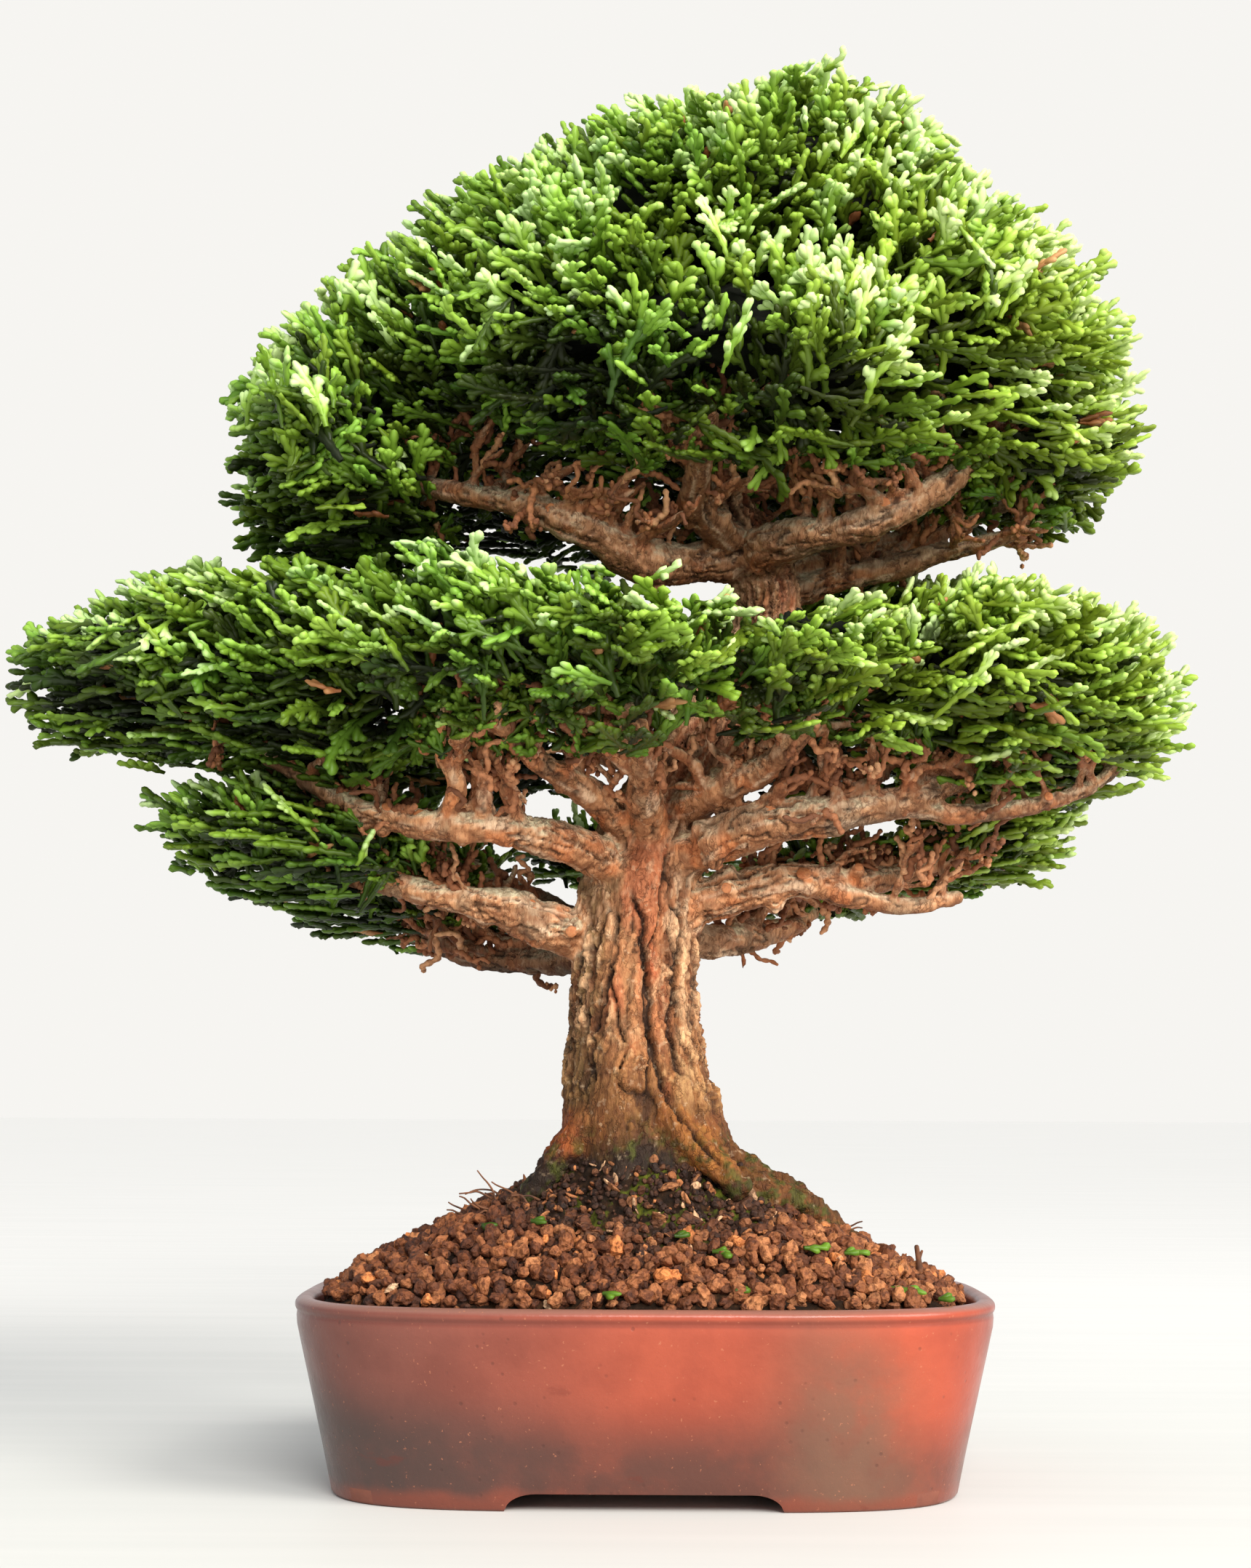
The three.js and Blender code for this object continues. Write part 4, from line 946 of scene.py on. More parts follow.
# pruning cuts: place, outward direction, radius
CUTS = [
    ([-66, -27.5, 190.5], [-0.1, -0.9, 0.35], 2.3),
    ([-76, -25.5, 193.0], [0.2, -0.8, 0.6], 1.9),
    ([-34.5, -9.5, 165.5], [-0.2, -0.95, 0.1], 2.8),
    ([-22, -12, 158], [0.1, -0.9, -0.2], 2.2),
    ([47, -9.8, 175.5], [0.0, -0.85, 0.5], 2.6),
    ([64, -4.5, 178], [0.2, -0.9, 0.4], 1.7),
    ([24, -11.6, 171], [0.0, -0.98, 0.1], 2.0),
    ([104, -21.5, 209], [0.1, -0.85, 0.5], 2.9),
    ([36.5, -32.6, 191], [-0.1, -0.98, 0.15], 3.3),
    ([-3, -17, 199], [-0.2, -0.95, 0.2], 2.6),
    ([14, -9, 203], [0.1, -0.98, 0.05], 2.4),
    ([30, -10, 247], [0.0, -0.98, 0.1], 2.6),
    ([70, -33, 283], [0.1, -0.9, -0.3], 2.2),
    ([-28, -37, 280], [-0.1, -0.95, -0.1], 2.0),
    ([118, -23.5, 197], [0.0, -0.9, 0.3], 1.7),
]


def laplace(v, edges, rounds, factor):
    n = len(v)
    deg = np.bincount(edges.ravel(), minlength=n)[:, None]
    for _ in range(rounds):
        s = np.zeros_like(v)
        for c in range(3):
            s[:, c] = np.bincount(edges[:, 0], v[edges[:, 1], c], n) + np.bincount(edges[:, 1], v[edges[:, 0], c], n)
        v = v + factor * (s / np.maximum(deg, 1) - v)
    return v


def read_mesh(me):
    v = np.empty(len(me.vertices) * 3, np.float32)
    me.vertices.foreach_get("co", v)
    loops = np.empty(len(me.loops), np.int32)
    me.loops.foreach_get("vertex_index", loops)
    edges = np.empty(len(me.edges) * 2, np.int32)
    me.edges.foreach_get("vertices", edges)
    return v.reshape(-1, 3).astype(float), loops, edges.reshape(-1, 2)


def vertex_normals(v, q):
    fn = np.cross(v[q[:, 2]] - v[q[:, 0]], v[q[:, 3]] - v[q[:, 1]])
    n = np.zeros_like(v)
    for c in range(3):
        for k in range(4):
            n[:, c] += np.bincount(q[:, k], fn[:, c], len(v))
    return unit(n)


def bark_material():
    m = Nodes("bark")
    p = m.object_coords()
    col = m.attribute("tint", "Color")
    fine = m.noise(m.scaled(p, 1, 1, 0.4), 800.0, 5)
    col = m.mix(m.range(fine, 0.40, 0.68, 0.0, 0.55), col, m.mix(1.0, col, srgb(170, 130, 104), "MULTIPLY"))
    col = m.mix(m.range(m.noise(p, 420.0, 3), 0.58, 0.72, 0.0, 0.4), col, m.mix(0.6, col, srgb(236, 206, 168)))
    # small flakes, each with its own shade and a lifted edge, its darker border a painted shade
    warp = m.node("ShaderNodeVectorMath", {0: m.scaled(p, 1, 1, 0.34), 1: m.scaled(m.noise(p, 330.0, 4, out="Color"), 0.0062, 0.0062, 0.0036)}, operation="ADD").outputs[0]
    cells = m.node("ShaderNodeTexVoronoi", {"Vector": warp, "Scale": 400.0}).outputs["Color"]
    shade = m.math("ADD", cells, 0.0)
    edge = m.node("ShaderNodeTexVoronoi", {"Vector": warp, "Scale": 400.0}, feature="DISTANCE_TO_EDGE").outputs["Distance"]
    rim = m.math("MULTIPLY", m.range(edge, 0.10, 0.0), m.range(m.noise(p, 150.0, 2), 0.42, 0.58))
    col = m.mix(m.range(shade, 0.52, 0.75, 0.0, 0.6), col, m.mix(1.0, col, (1.26, 1.24, 1.22, 1), "MULTIPLY"))
    col = m.mix(m.range(shade, 0.46, 0.26, 0.0, 0.30), col, m.mix(1.0, col, srgb(168, 128, 102), "MULTIPLY"))
    # painted shade at the flake borders
    col = m.mix(m.math("MULTIPLY", rim, 0.35), col, m.mix(1.0, col, srgb(120, 84, 62), "MULTIPLY"))
    m.set(Base_Color=col, Roughness=0.7, Specular_IOR_Level=0.3)
    grain = m.math("ADD", m.math("MULTIPLY", fine, 0.9), m.noise(m.scaled(p, 1, 1, 0.3), 1900.0, 3))
    m.bump(m.math("ADD", grain, m.math("SUBTRACT", m.math("MULTIPLY", shade, 0.8), m.math("MULTIPLY", rim, 0.6))), 0.75, 0.0007)
    return m.mat


def cut_material():
    m = Nodes("cut_wood")
    p = m.object_coords()
    col = m.ramp(m.noise(p, 500.0, 3), [(0.3, srgb(176, 96, 52)), (0.55, srgb(204, 132, 82)), (0.75, srgb(150, 88, 56))])
    m.set(Base_Color=col, Roughness=0.7)
    m.bump(m.noise(p, 1500.0, 3), 0.5, 0.0005)
    return m.mat


# wavy fissures down the front of the trunk, x and z
FISSURES = [
    ([(-3.5, 170), (-0.8, 161.8), (-1.2, 153), (0.4, 146.1), (0.6, 139), (1.8, 133.2), (2.5, 122.9), (3.8, 112.6), (7.5, 107), (11.0, 102.4), (16.0, 96.2), (21.2, 89.8)], 0.55, 2.4),
    ([(10.8, 166), (9.8, 156), (8.6, 146.1), (7.6, 133.2), (8.4, 122.9), (9.5, 114)], 0.45, 1.9),
    ([(-8, 166), (-9.3, 160), (-8.6, 151.4), (-11.5, 142), (-13.2, 133.1), (-15.1, 124.1), (-16, 112)], 0.38, 1.5),
    ([(-18.6, 156), (-20.0, 142.2), (-21.0, 122.8), (-22.4, 107.5)], 0.35, 1.4),
    ([(-4.0, 148), (-5.5, 138), (-4.2, 130), (-7.5, 122)], 0.32, 1.1),
    ([(14.2, 146), (13.6, 138), (15.2, 126), (17.4, 114), (20, 104)], 0.4, 1.3),
]


def build_wood():
    rng = np.random.default_rng(31)
    runs = [(spline(TRUNK, 1.5), 0)]
    runs += [(spline(r, 1.5), 1) for r in ROOTS]
    runs += [(spline(l, 1.5), 2) for l in LIMBS.values()]
    runs += [(spline(f, 1.5), 2) for f in FORKS]
    branches = side_branches(rng)
    runs += [(spline(b, 1.5), 3) for b in branches]
    # surface ridges that run from the lower trunk into the grit
    ridges = [
        [[3, -19, 109, 4.2], [8, -21, 102.5, 4.4], [13.5, -22.5, 96, 4.3], [20, -24.5, 90.5, 4.2], [27, -26.5, 84, 3.4]],
        [[-14, -15, 104, 5], [-21, -15, 95, 5], [-27, -15, 88, 4.5], [-33, -16, 80, 3.5]],
        [[-4, -20, 98, 4.5], [-6, -23, 90, 4.5], [-8, -26, 82, 4]],
        [[16, -9, 99, 5.5], [23, -9, 91, 5.3], [33, -10, 85.5, 4.4], [44, -8, 81, 3.6], [54, -5, 75, 3.0]],
        [[-18, 6, 100, 5.5], [-25, 8, 91, 5], [-32, 10, 82, 4]],
        [[0, 20, 100, 5.5], [2, 26, 90, 5], [2, 32, 80, 4]],
        [[17, 12, 98, 5.5], [26, 16, 88, 4.6], [34, 20, 79, 3.5]],
    ]
    runs += [(spline(r, 1.5), 1) for r in ridges]
    parts = []
    for i, (path, kind) in enumerate(runs):
        p = path.copy()
        if kind == 2:  # knobbly limbs
            s = np.arange(len(p)) * 1.5
            k = np.c_[s / 11.0, np.full(len(s), i * 3.7), np.zeros(len(s))]
            p[:, 3] *= 1.0 + 0.15 * noise(k, 21) + 0.09 * noise(k * 2.9, 22)
            p[:, :3] += np.stack([noise(k * 0.9 + j * 5.1, 23 + j) for j in range(3)], -1) * 0.16 * p[:, 3:4]
        if kind == 3:
            s = np.arange(len(p)) * 1.5
            k = np.c_[s / 3.6, np.full(len(s), i * 3.7), np.zeros(len(s))]
            p[:, 3] *= 1.02 + 0.24 * noise(k, 24)
            p[:, :3] += np.stack([noise(k * 0.45 + j * 5.1, 33 + j) for j in range(3)], -1) * 1.1 * smooth(0, 6, s)[:, None]
        parts.append(tube(p, 40 if kind == 0 else 14 if kind < 3 else 8, 0.06 if kind == 0 else 0.0, 0.7))
    for place, way, r in CUTS:  # stubs
        way = unit(np.array(way, float))
        place = np.array(place, float)
        parts.append(tube(np.array([[*(place - way * 4.5), r * 1.3], [*(place - way * 1.2), r * 1.25], [*(place + way * 0.3), r * 1.02]]), 14, round_end=False))
    # burls and knots on the limbs
    dv, df = geodesic(3)
    for i, (path, kind) in enumerate(runs):
        if kind != 2:
            continue
        for _ in range(max(2, int(len(path) * 1.5 / 22))):
            k = rng.integers(int(len(path) * 0.1), int(len(path) * 0.85))
            c, r = path[k, :3], path[k, 3]
            side = unit(np.cross(unit(path[min(k + 1, len(path) - 1), :3] - path[k - 1, :3]), rng.normal(size=3)))
            b = r * rng.uniform(0.35, 0.6)
            parts.append((dv * b + c + side * r * rng.uniform(0.75, 0.95), df))
    v, t, _ = join([p[:2] for p in parts])
    o = mesh_piece("wood_raw", v, t, bpy.data.materials.new("raw"))
    mod = o.modifiers.new("r", "REMESH")
    mod.mode = "VOXEL"
    mod.voxel_size = 0.00072
    mod.adaptivity = 0.0
    got = evaluated(o, "w")
    raw_mesh = o.data
    bpy.data.objects.remove(o)
    bpy.data.meshes.remove(raw_mesh)
    v, loops, edges = read_mesh(got)
    bpy.data.meshes.remove(got)
    v = v / MM - SHIFT
    q = loops.reshape(-1, 4)
    v = laplace(v, edges, 3, 0.5)
    # nearest run sample of every vertex, with its run's own lengthwise frame
    samples, owner, arc, kinds, tt, nn, bb = [], [], [], [], [], [], []
    for i, (path, kind) in enumerate(runs):
        t_, n_, b_ = frames(path)
        samples.append(path)
        owner.append(np.full(len(path), i))
        arc.append(np.arange(len(path)) * 1.5)
        kinds.append(np.full(len(path), kind))
        tt.append(t_)
        nn.append(n_)
        bb.append(b_)
    samples, owner, arc, kinds = np.vstack(samples), np.concatenate(owner), np.concatenate(arc), np.concatenate(kinds)
    tt, nn, bb = np.vstack(tt), np.vstack(nn), np.vstack(bb)
    near = np.zeros(len(v), np.int64)
    sx = samples[:, :3].astype(np.float32)
    s2 = ((sx**2).sum(1) - samples[:, 3] ** 2).astype(np.float32)
    for a in range(0, len(v), 20000):
        d = s2[None] - 2 * v[a : a + 20000].astype(np.float32) @ sx.T
        near[a : a + 20000] = d.argmin(1)
    kind = kinds[near]
    r = samples[near, 3]
    c = samples[near, :3]
    rel = v - c
    n = vertex_normals(v, q)
    zt = v[:, 2]
    ones = np.ones(3)
    trunk = laplace(((kind == 0) | (kind == 1)).astype(float)[:, None] * ones, edges, 14, 0.5)[:, 0]
    # --- trunk: a cylinder of constant radius carries the pattern, drawn out along the height
    axis = np.array(TRUNK, float)
    ax = np.interp(zt, axis[:, 2], axis[:, 0])
    ay = np.interp(zt, axis[:, 2], axis[:, 1])
    th = np.arctan2(v[:, 0] - ax, -(v[:, 1] - ay))
    cyl = np.stack([22 * np.sin(th), -22 * np.cos(th), zt], -1)
    warp = np.stack([fbm(cyl * np.array([0.05, 0.05, 0.035]) + j * 9.0, 3, 60 + j) for j in range(3)], -1)
    w2 = np.stack([fbm(cyl * np.array([0.24, 0.24, 0.13]) + j * 9.0, 2, 70 + j) for j in range(3)], -1)
    pc = cyl + warp * np.array([5, 5, 14]) + w2 * np.array([1.3, 1.3, 2.5])
    ridge = np.abs(fbm(pc * np.array([1 / 9.5, 1 / 9.5, 1 / 62.0]), 2, 101))
    ridge2 = np.abs(fbm(pc * np.array([1 / 5.0, 1 / 5.0, 1 / 24.0]) + 40, 2, 111))
    wide = 0.045 + 0.05 * (0.5 + 0.5 * fbm(cyl * np.array([0.06, 0.06, 0.03]) + 5, 2, 105))
    rough = smooth(97, 116, zt + 6 * fbm(v * 0.08, 2, 77))  # smoother towards the base
    crack = (1 - smooth(wide * 0.2, wide * 0.75, ridge)) * smooth(-0.35, 0.05, fbm(cyl * np.array([0.09, 0.09, 0.03]) + 15, 2, 106))
    crack2 = (1 - smooth(0.01, 0.06, ridge2)) * smooth(-0.1, 0.2, fbm(cyl * np.array([0.11, 0.11, 0.05]) + 25, 2, 107))
    front = v[:, 1] < ay
    drawn = np.zeros(len(v))
    wob = 0.9 * noise(np.stack([zt * 0.22, 0 * zt, 0 * zt], -1), 119) + 0.5 * noise(np.stack([zt * 0.7, 0 * zt, 0 * zt], -1), 120)
    for line, half, deep in FISSURES:
        px = np.array([p[0] for p in line])[::-1]
        pz = np.array([p[1] for p in line])[::-1]
        lx = np.interp(zt, pz, px)
        inside = smooth(pz[0] - 3, pz[0] + 5, zt) * smooth(pz[-1] + 3, pz[-1] - 5, zt)
        dist = np.abs(v[:, 0] - lx - wob * 1.1)
        drawn = np.maximum(drawn, front * inside * (deep / 2.4) * (1 - smooth(half * 0.5, half * 2.1, dist)))
    f1, f2, cell = worley(pc * np.array([1 / 4.6, 1 / 4.6, 1 / 13.0]), 130)
    g1, g2, cell2 = worley(pc * np.array([1 / 2.6, 1 / 2.6, 1 / 5.0]), 150)
    e1, e2, cell3 = worley(pc * np.array([1 / 3.4, 1 / 3.4, 1 / 8.0]) + 60, 190)
    flaky = rough * np.clip(0.5 + 0.8 * smooth(-0.15, 0.3, fbm(cyl * np.array([0.06, 0.06, 0.035]) + 33, 2, 108)) + 0.5 * front * smooth(2, 9, v[:, 0]) * smooth(165, 150, zt), 0, 1.3)
    depth = 0.22 + 0.78 * rough
    plateau = smooth(0.0, 0.14, ridge)
    h_trunk = (
        -1.9 * crack * depth
        - 1.0 * crack2 * depth
        - 2.4 * drawn
        + 0.5 * (plateau - 0.7) * depth
        + 1.5 * (cell - 0.5) * flaky
        - 0.5 * (1 - smooth(0.02, 0.12, f2 - f1)) * flaky
        + 1.1 * np.maximum(cell3 - 0.45, 0) * flaky
        + 1.15 * (cell2 - 0.5) * flaky
        + 0.35 * fbm(cyl * np.array([0.95, 0.95, 0.14]), 3, 83) * (0.4 + 0.6 * rough)
        + 0.5 * fbm(v * 0.75, 2, 85)
        + 0.8 * fbm(v * 0.075, 2, 84)
        + smooth(16, 24, np.abs(v[:, 0])) * smooth(100, 92, zt) * (1.6 * fbm(v * 0.2, 3, 86) + 0.7 * fbm(v * 0.6, 2, 87))
    )
    # --- limbs: lengthwise creases, rings at the bends, knots
    size = np.clip(r / 5.0, 0.3, 1.25)
    along = arc[near] + (rel * tt[near]).sum(1)
    across = np.stack([(rel * nn[near]).sum(1), (rel * bb[near]).sum(1)], -1)
    across = across / np.maximum(np.linalg.norm(across, axis=1, keepdims=True), 1e-3) * np.clip(r, 1.5, 7)[:, None]
    lc = np.c_[along, across + (owner[near] * 31.7)[:, None]]
    lw = np.stack([fbm(lc * 0.16 + j * 9.0, 2, 170 + j) for j in range(3)], -1)
    lq = lc + lw * np.array([3.5, 1.5, 1.5])
    crease = np.abs(fbm(lq * np.array([1 / 13.0, 1 / 3.2, 1 / 3.2]), 2, 180))
    lcrack = (1 - smooth(0.0, 0.11, crease)) * smooth(-0.4, 0.0, fbm(lc * 0.09, 2, 181))
    ringn = np.abs(fbm(lq * np.array([1 / 3.4, 1 / 14.0, 1 / 14.0]) + 7, 1, 182))
    bend = smooth(0.0, 0.35, fbm(lc * 0.055 + 3, 2, 183))
    rings = (1 - smooth(0.0, 0.16, ringn)) * bend
    h_limb = size * (
        -0.95 * lcrack
        - 0.7 * rings
        + 0.8 * fbm(v * 0.2, 2, 92)
        + 0.42 * fbm(v * 0.62, 2, 93)
        + 0.2 * fbm(lc * np.array([0.3, 1.4, 1.4]), 2, 94)
    )
    h = trunk * h_trunk + (1 - trunk) * h_limb
    v = v + n * h[:, None]
    n = vertex_normals(v, q)
    # --- colour
    def blend(a, b, f):
        return a + (b - a) * np.clip(f, 0, 1)[:, None]
    tan, pink, shaded_side_grey = lin(192, 138, 96), lin(196, 120, 80), lin(134, 114, 78)
    straw, dark, ochre = lin(230, 186, 146), lin(34, 19, 9), lin(132, 86, 42)
    olive, brown = lin(96, 78, 32), lin(124, 78, 48)
    side = (v[:, 0] - ax) / np.maximum(np.interp(zt, axis[:, 2], axis[:, 3]), 1)
    big = fbm(cyl * np.array([0.07, 0.07, 0.022]), 3, 41)
    mid = fbm(cyl * np.array([0.2, 0.2, 0.07]), 3, 42)
    fine = fbm(v * 0.6, 2, 43)
    ct = np.tile(tan, (len(v), 1))
    ct = blend(ct, pink, smooth(-0.05, 0.35, big + 0.3 * (cell - 0.5)) + 0.55 * front * np.exp(-(((v[:, 0] - 3.5) / 5.0) ** 2)) * smooth(112, 130, zt))
    ct = blend(ct, lin(188, 84, 50), 0.6 * smooth(0.30, 0.5, fbm(cyl * np.array([0.12, 0.12, 0.035]) + 31, 2, 44)) * rough)
    # painted shade: the left side of the trunk, away from the light, turns greyer, with an olive tinge in patches
    ct = blend(ct, shaded_side_grey, 0.75 * smooth(-0.35, -0.8, side + 0.4 * mid))
    ct = blend(ct, lin(120, 112, 70), 0.5 * smooth(0.1, 0.4, mid) * smooth(-0.2, -0.6, side))
    ct = blend(ct, straw, 0.9 * smooth(0.05, 0.35, mid * 0.5 + (cell2 - 0.5) * 0.7 + (cell3 - 0.5) * 0.6 + 0.25 * front * smooth(4, 10, v[:, 0])) * flaky)
    ct = blend(ct, brown, 0.7 * smooth(0.0, 0.4, -(cell - 0.5) - 0.4 * (cell2 - 0.5) + 0.3 * mid) * flaky)
    ct = blend(ct, lin(88, 50, 26), 0.6 * smooth(0.25, 0.5, 0.5 - cell3 + 0.3 * fine) * flaky)
    ct = blend(ct, ochre * 0.8, (1 - rough) * 0.85)
    ct = blend(ct, lin(176, 96, 58), 0.45 * (1 - rough) * smooth(-0.1, 0.35, mid) * smooth(94, 104, zt))
    ct = blend(ct, olive, (1 - smooth(90, 108, zt + 8 * mid)) * 0.65 * smooth(-0.35, 0.25, fine + 0.3 * mid))
    ct = blend(ct, lin(192, 106, 56), 0.85 * smooth(108, 100, zt + 5 * mid) * smooth(-0.55, -0.85, side + 0.2 * mid) * smooth(86, 93, zt))
    root_ochre = laplace(((kind == 1) & (v[:, 1] < 0)).astype(float)[:, None] * ones, edges, 5, 0.5)[:, 0]
    ct = blend(ct, lin(196, 132, 70), 0.7 * root_ochre * smooth(-0.4, 0.15, mid + 0.15) * smooth(0, 10, v[:, 0]) * smooth(34, 24, v[:, 0]) * smooth(-14, -19, v[:, 1]))
    ct = blend(ct, lin(112, 74, 40), 0.6 * smooth(24, 34, v[:, 0]) * smooth(-0.3, 0.3, fine + mid))
    ct = ct * (1 - smooth(142, 108, zt)[:, None] * np.array([0.35, 0.41, 0.56]))
    ct = ct * (1 - 0.15 * smooth(170, 150, zt)[:, None] * np.array([0.2, 0.4, 1.0]))
    # painted shade: fissures, cracks and flake borders are darkened nearly to black
    ct = blend(ct, dark, np.clip(crack * depth + 0.7 * crack2 * depth + 1.1 * drawn + 0.45 * (1 - smooth(0.02, 0.10, f2 - f1)) * flaky, 0, 0.93))
    ct = blend(ct, lin(26, 16, 8), 0.9 * smooth(99, 92, zt + 6 * mid + 3 * fine + 0.12 * np.abs(v[:, 0]) + 6 * smooth(6, 14, v[:, 0])) * smooth(36, 24, v[:, 0]))
    mossy = smooth(0.0, 0.25, fbm(v * 0.16, 3, 45) + 0.18 * smooth(20, 30, v[:, 0])) * smooth(106, 92, zt + 5 * mid)
    ct = blend(ct, lin(70, 74, 20), 0.8 * mossy * smooth(0.0, 0.25, fine + 0.15))
    up = n[:, 2]
    lmid = fbm(lc * np.array([0.06, 0.2, 0.2]), 3, 48)
    # painted light and shade: limb faces turned up are lighter, undersides darker
    cl = blend(np.tile(lin(206, 150, 106), (len(v), 1)), lin(246, 214, 178), 0.9 * smooth(-0.1, 0.75, up + 0.5 * lmid))
    cl = blend(cl, lin(126, 78, 46), 0.75 * smooth(0.1, -0.8, up + 0.4 * lmid))
    cl = blend(cl, lin(200, 120, 70), 0.6 * smooth(0.15, 0.45, fbm(v * 0.12 + 9, 2, 46)))
    cl = blend(cl, lin(142, 122, 96), 0.55 * smooth(0.15, 0.45, fbm(v * 0.09 + 19, 2, 47)))
    cl = blend(cl, lin(236, 204, 170), 0.55 * smooth(0.2, 0.5, fbm(lc * np.array([0.1, 0.45, 0.45]) + 9, 2, 49)))
    # painted shade: rings at the bends and lengthwise cracks are darkened
    cl = blend(cl, lin(110, 66, 40), 0.55 * rings)
    cl = blend(cl, dark, 0.8 * lcrack)
    cl = np.minimum(cl * 1.26, 0.93)
    # painted shade: limbs on the right between the tiers, on the lower and back left, and in the crown are darkened
    # where the foliage above shades them
    cl = cl * (1 - 0.40 * smooth(20, 45, v[:, 0]) * smooth(182, 188, zt) * smooth(215, 205, zt))[:, None]
    cl = cl * (1 - 0.35 * smooth(-12, -26, v[:, 0]) * smooth(172, 160, zt + 0.12 * v[:, 0]) * smooth(2, 10, v[:, 1] + 6))[:, None]
    cl = cl * (1 - 0.45 * smooth(-14, -24, v[:, 0]) * smooth(6, 14, v[:, 1]) * smooth(202, 196, zt))[:, None]
    crown_limb_shade = smooth(235, 255, zt)
    cl = cl * (1 - 0.38 * crown_limb_shade)[:, None]
    cl = blend(cl, lin(172, 106, 68), 0.6 * (kind == 3) * smooth(-0.3, 0.4, fine + 0.2))
    tint = blend(cl, ct, trunk)
    # the trunk and its roots, and the limbs, as two pieces
    face_trunk = (trunk[q].mean(1) > 0.5)
    mat = bark_material()
    for name, sel in (("trunk_barked", face_trunk), ("limbs_barked", ~face_trunk)):
        used = np.unique(q[sel])
        index = np.full(len(v), -1, np.int64)
        index[used] = np.arange(len(used))
        o = mesh_piece(name, v[used], index[q[sel]], mat, {"tint": tint[used]})
        # seam normals stay smooth across the two pieces
        o.data.normals_split_custom_set_from_vertices([tuple(a) for a in n[used]])
        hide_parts("trunk_and_limbs")
    # pale faces of the pruning cuts
    faces = []
    for place, way, rad in CUTS:
        way = unit(np.array(way, float))
        x = unit(np.cross(way, [0.3, 0.2, 1.0]))
        y = np.cross(way, x)
        basis = np.stack([x * rad * 0.8, y * rad * 0.8, way * 0.45], 1)
        d = dv * (1 + 0.12 * noise(dv * 2 + place[0], 3)[:, None])
        faces.append((d @ basis.T + np.array(place) + way * 0.45, df))
    cv, cf, _ = join(faces)
    o = mesh_piece("pruning_cuts", cv, cf, cut_material())

    # thin knobbly twigs off the branches and limb ends, and buds in clusters
    twigs, buds, ends = [], [], []
    bv, bf = geodesic(1)
    pads = np.array([p for p in PADS.values()], float)
    hosts = [np.array(spline(b, 1.5)) for b in branches] + [spline(l, 1.5)[int(len(spline(l, 1.5)) * 0.45) :] for l in LIMBS.values()]
    for host in hosts:
        for _ in range(max(2, int(len(host) * 1.5 / 8.0))):
            k = rng.integers(2, len(host) - 1)
            p0 = host[k, :3]
            t0 = unit(host[k, :3] - host[k - 1, :3])
            gap = np.linalg.norm((pads[:, :3] - p0) / pads[:, 3:6], axis=1)
            pad = pads[gap.argmin()]
            way = unit(t0 * 0.7 + unit(pad[:3] - p0 + rng.normal(size=3) * 6) * 0.25 + rng.normal(size=3) * 0.55 + np.array([0, 0, 0.25]))
            reach = rng.uniform(7, 15)
            w = rng.uniform(0.85, 1.3)
            off = rng.normal(size=(4, 3)) * reach * 0.09
            path = spline([[*p0, w], [*(p0 + way * reach * 0.25 + off[0]), w * 0.95], [*(p0 + way * reach * 0.5 + off[1]), w * 0.85], [*(p0 + way * reach * 0.75 + off[2]), w * 0.8], [*(p0 + way * reach + off[3]), w * 0.7]], 0.7)
            path[:, 3] *= 1 + 0.34 * np.sin(np.arange(len(path)) * 1.5 + rng.uniform(0, 6)) * rng.uniform(0.4, 1.0, len(path))
            tv, tf = tube(path, 6)
            twigs.append((tv, tf, {"tone": np.full(len(tv), rng.random())}))
            ends.append([*path[-1, :3], *unit(path[-1, :3] - path[-3, :3])])
            if rng.random() < 0.30:
                c = path[-rng.integers(1, max(2, len(path) // 2)), :3]
                tone = rng.random()
                for _ in range(rng.integers(5, 12)):
                    b = bv * rng.uniform(0.6, 1.15) * np.array([1, 1, 1.2]) + c + rng.normal(size=3) * 1.05
                    buds.append((b, bf, {"tone": np.full(len(b), np.clip(tone + rng.normal() * 0.15, 0, 1))}))
    v, f, att = join(twigs + buds)
    tm = Nodes("twig_bark")
    tone = tm.attribute("tone")
    tp = tm.object_coords()
    col = tm.ramp(tone, [(0.0, srgb(112, 66, 38)), (0.4, srgb(156, 96, 60)), (0.75, srgb(196, 128, 84)), (1.0, srgb(222, 166, 120))])
    col = tm.mix(tm.range(tm.noise(tp, 500.0, 3), 0.4, 0.7, 0.0, 0.6), col, srgb(96, 54, 32))
    tm.set(Base_Color=col, Roughness=0.75)
    tm.bump(tm.noise(tp, 1300.0, 3), 0.7, 0.0005)
    o = mesh_piece("twigs_and_buds", v, f, tm.mat, att)
    for b in branches:
        ends.append([*b[-1][:3], *unit(np.array(b[-1][:3]) - np.array(b[-2][:3]))])
    return np.array(ends)


twig_ends = build_wood()


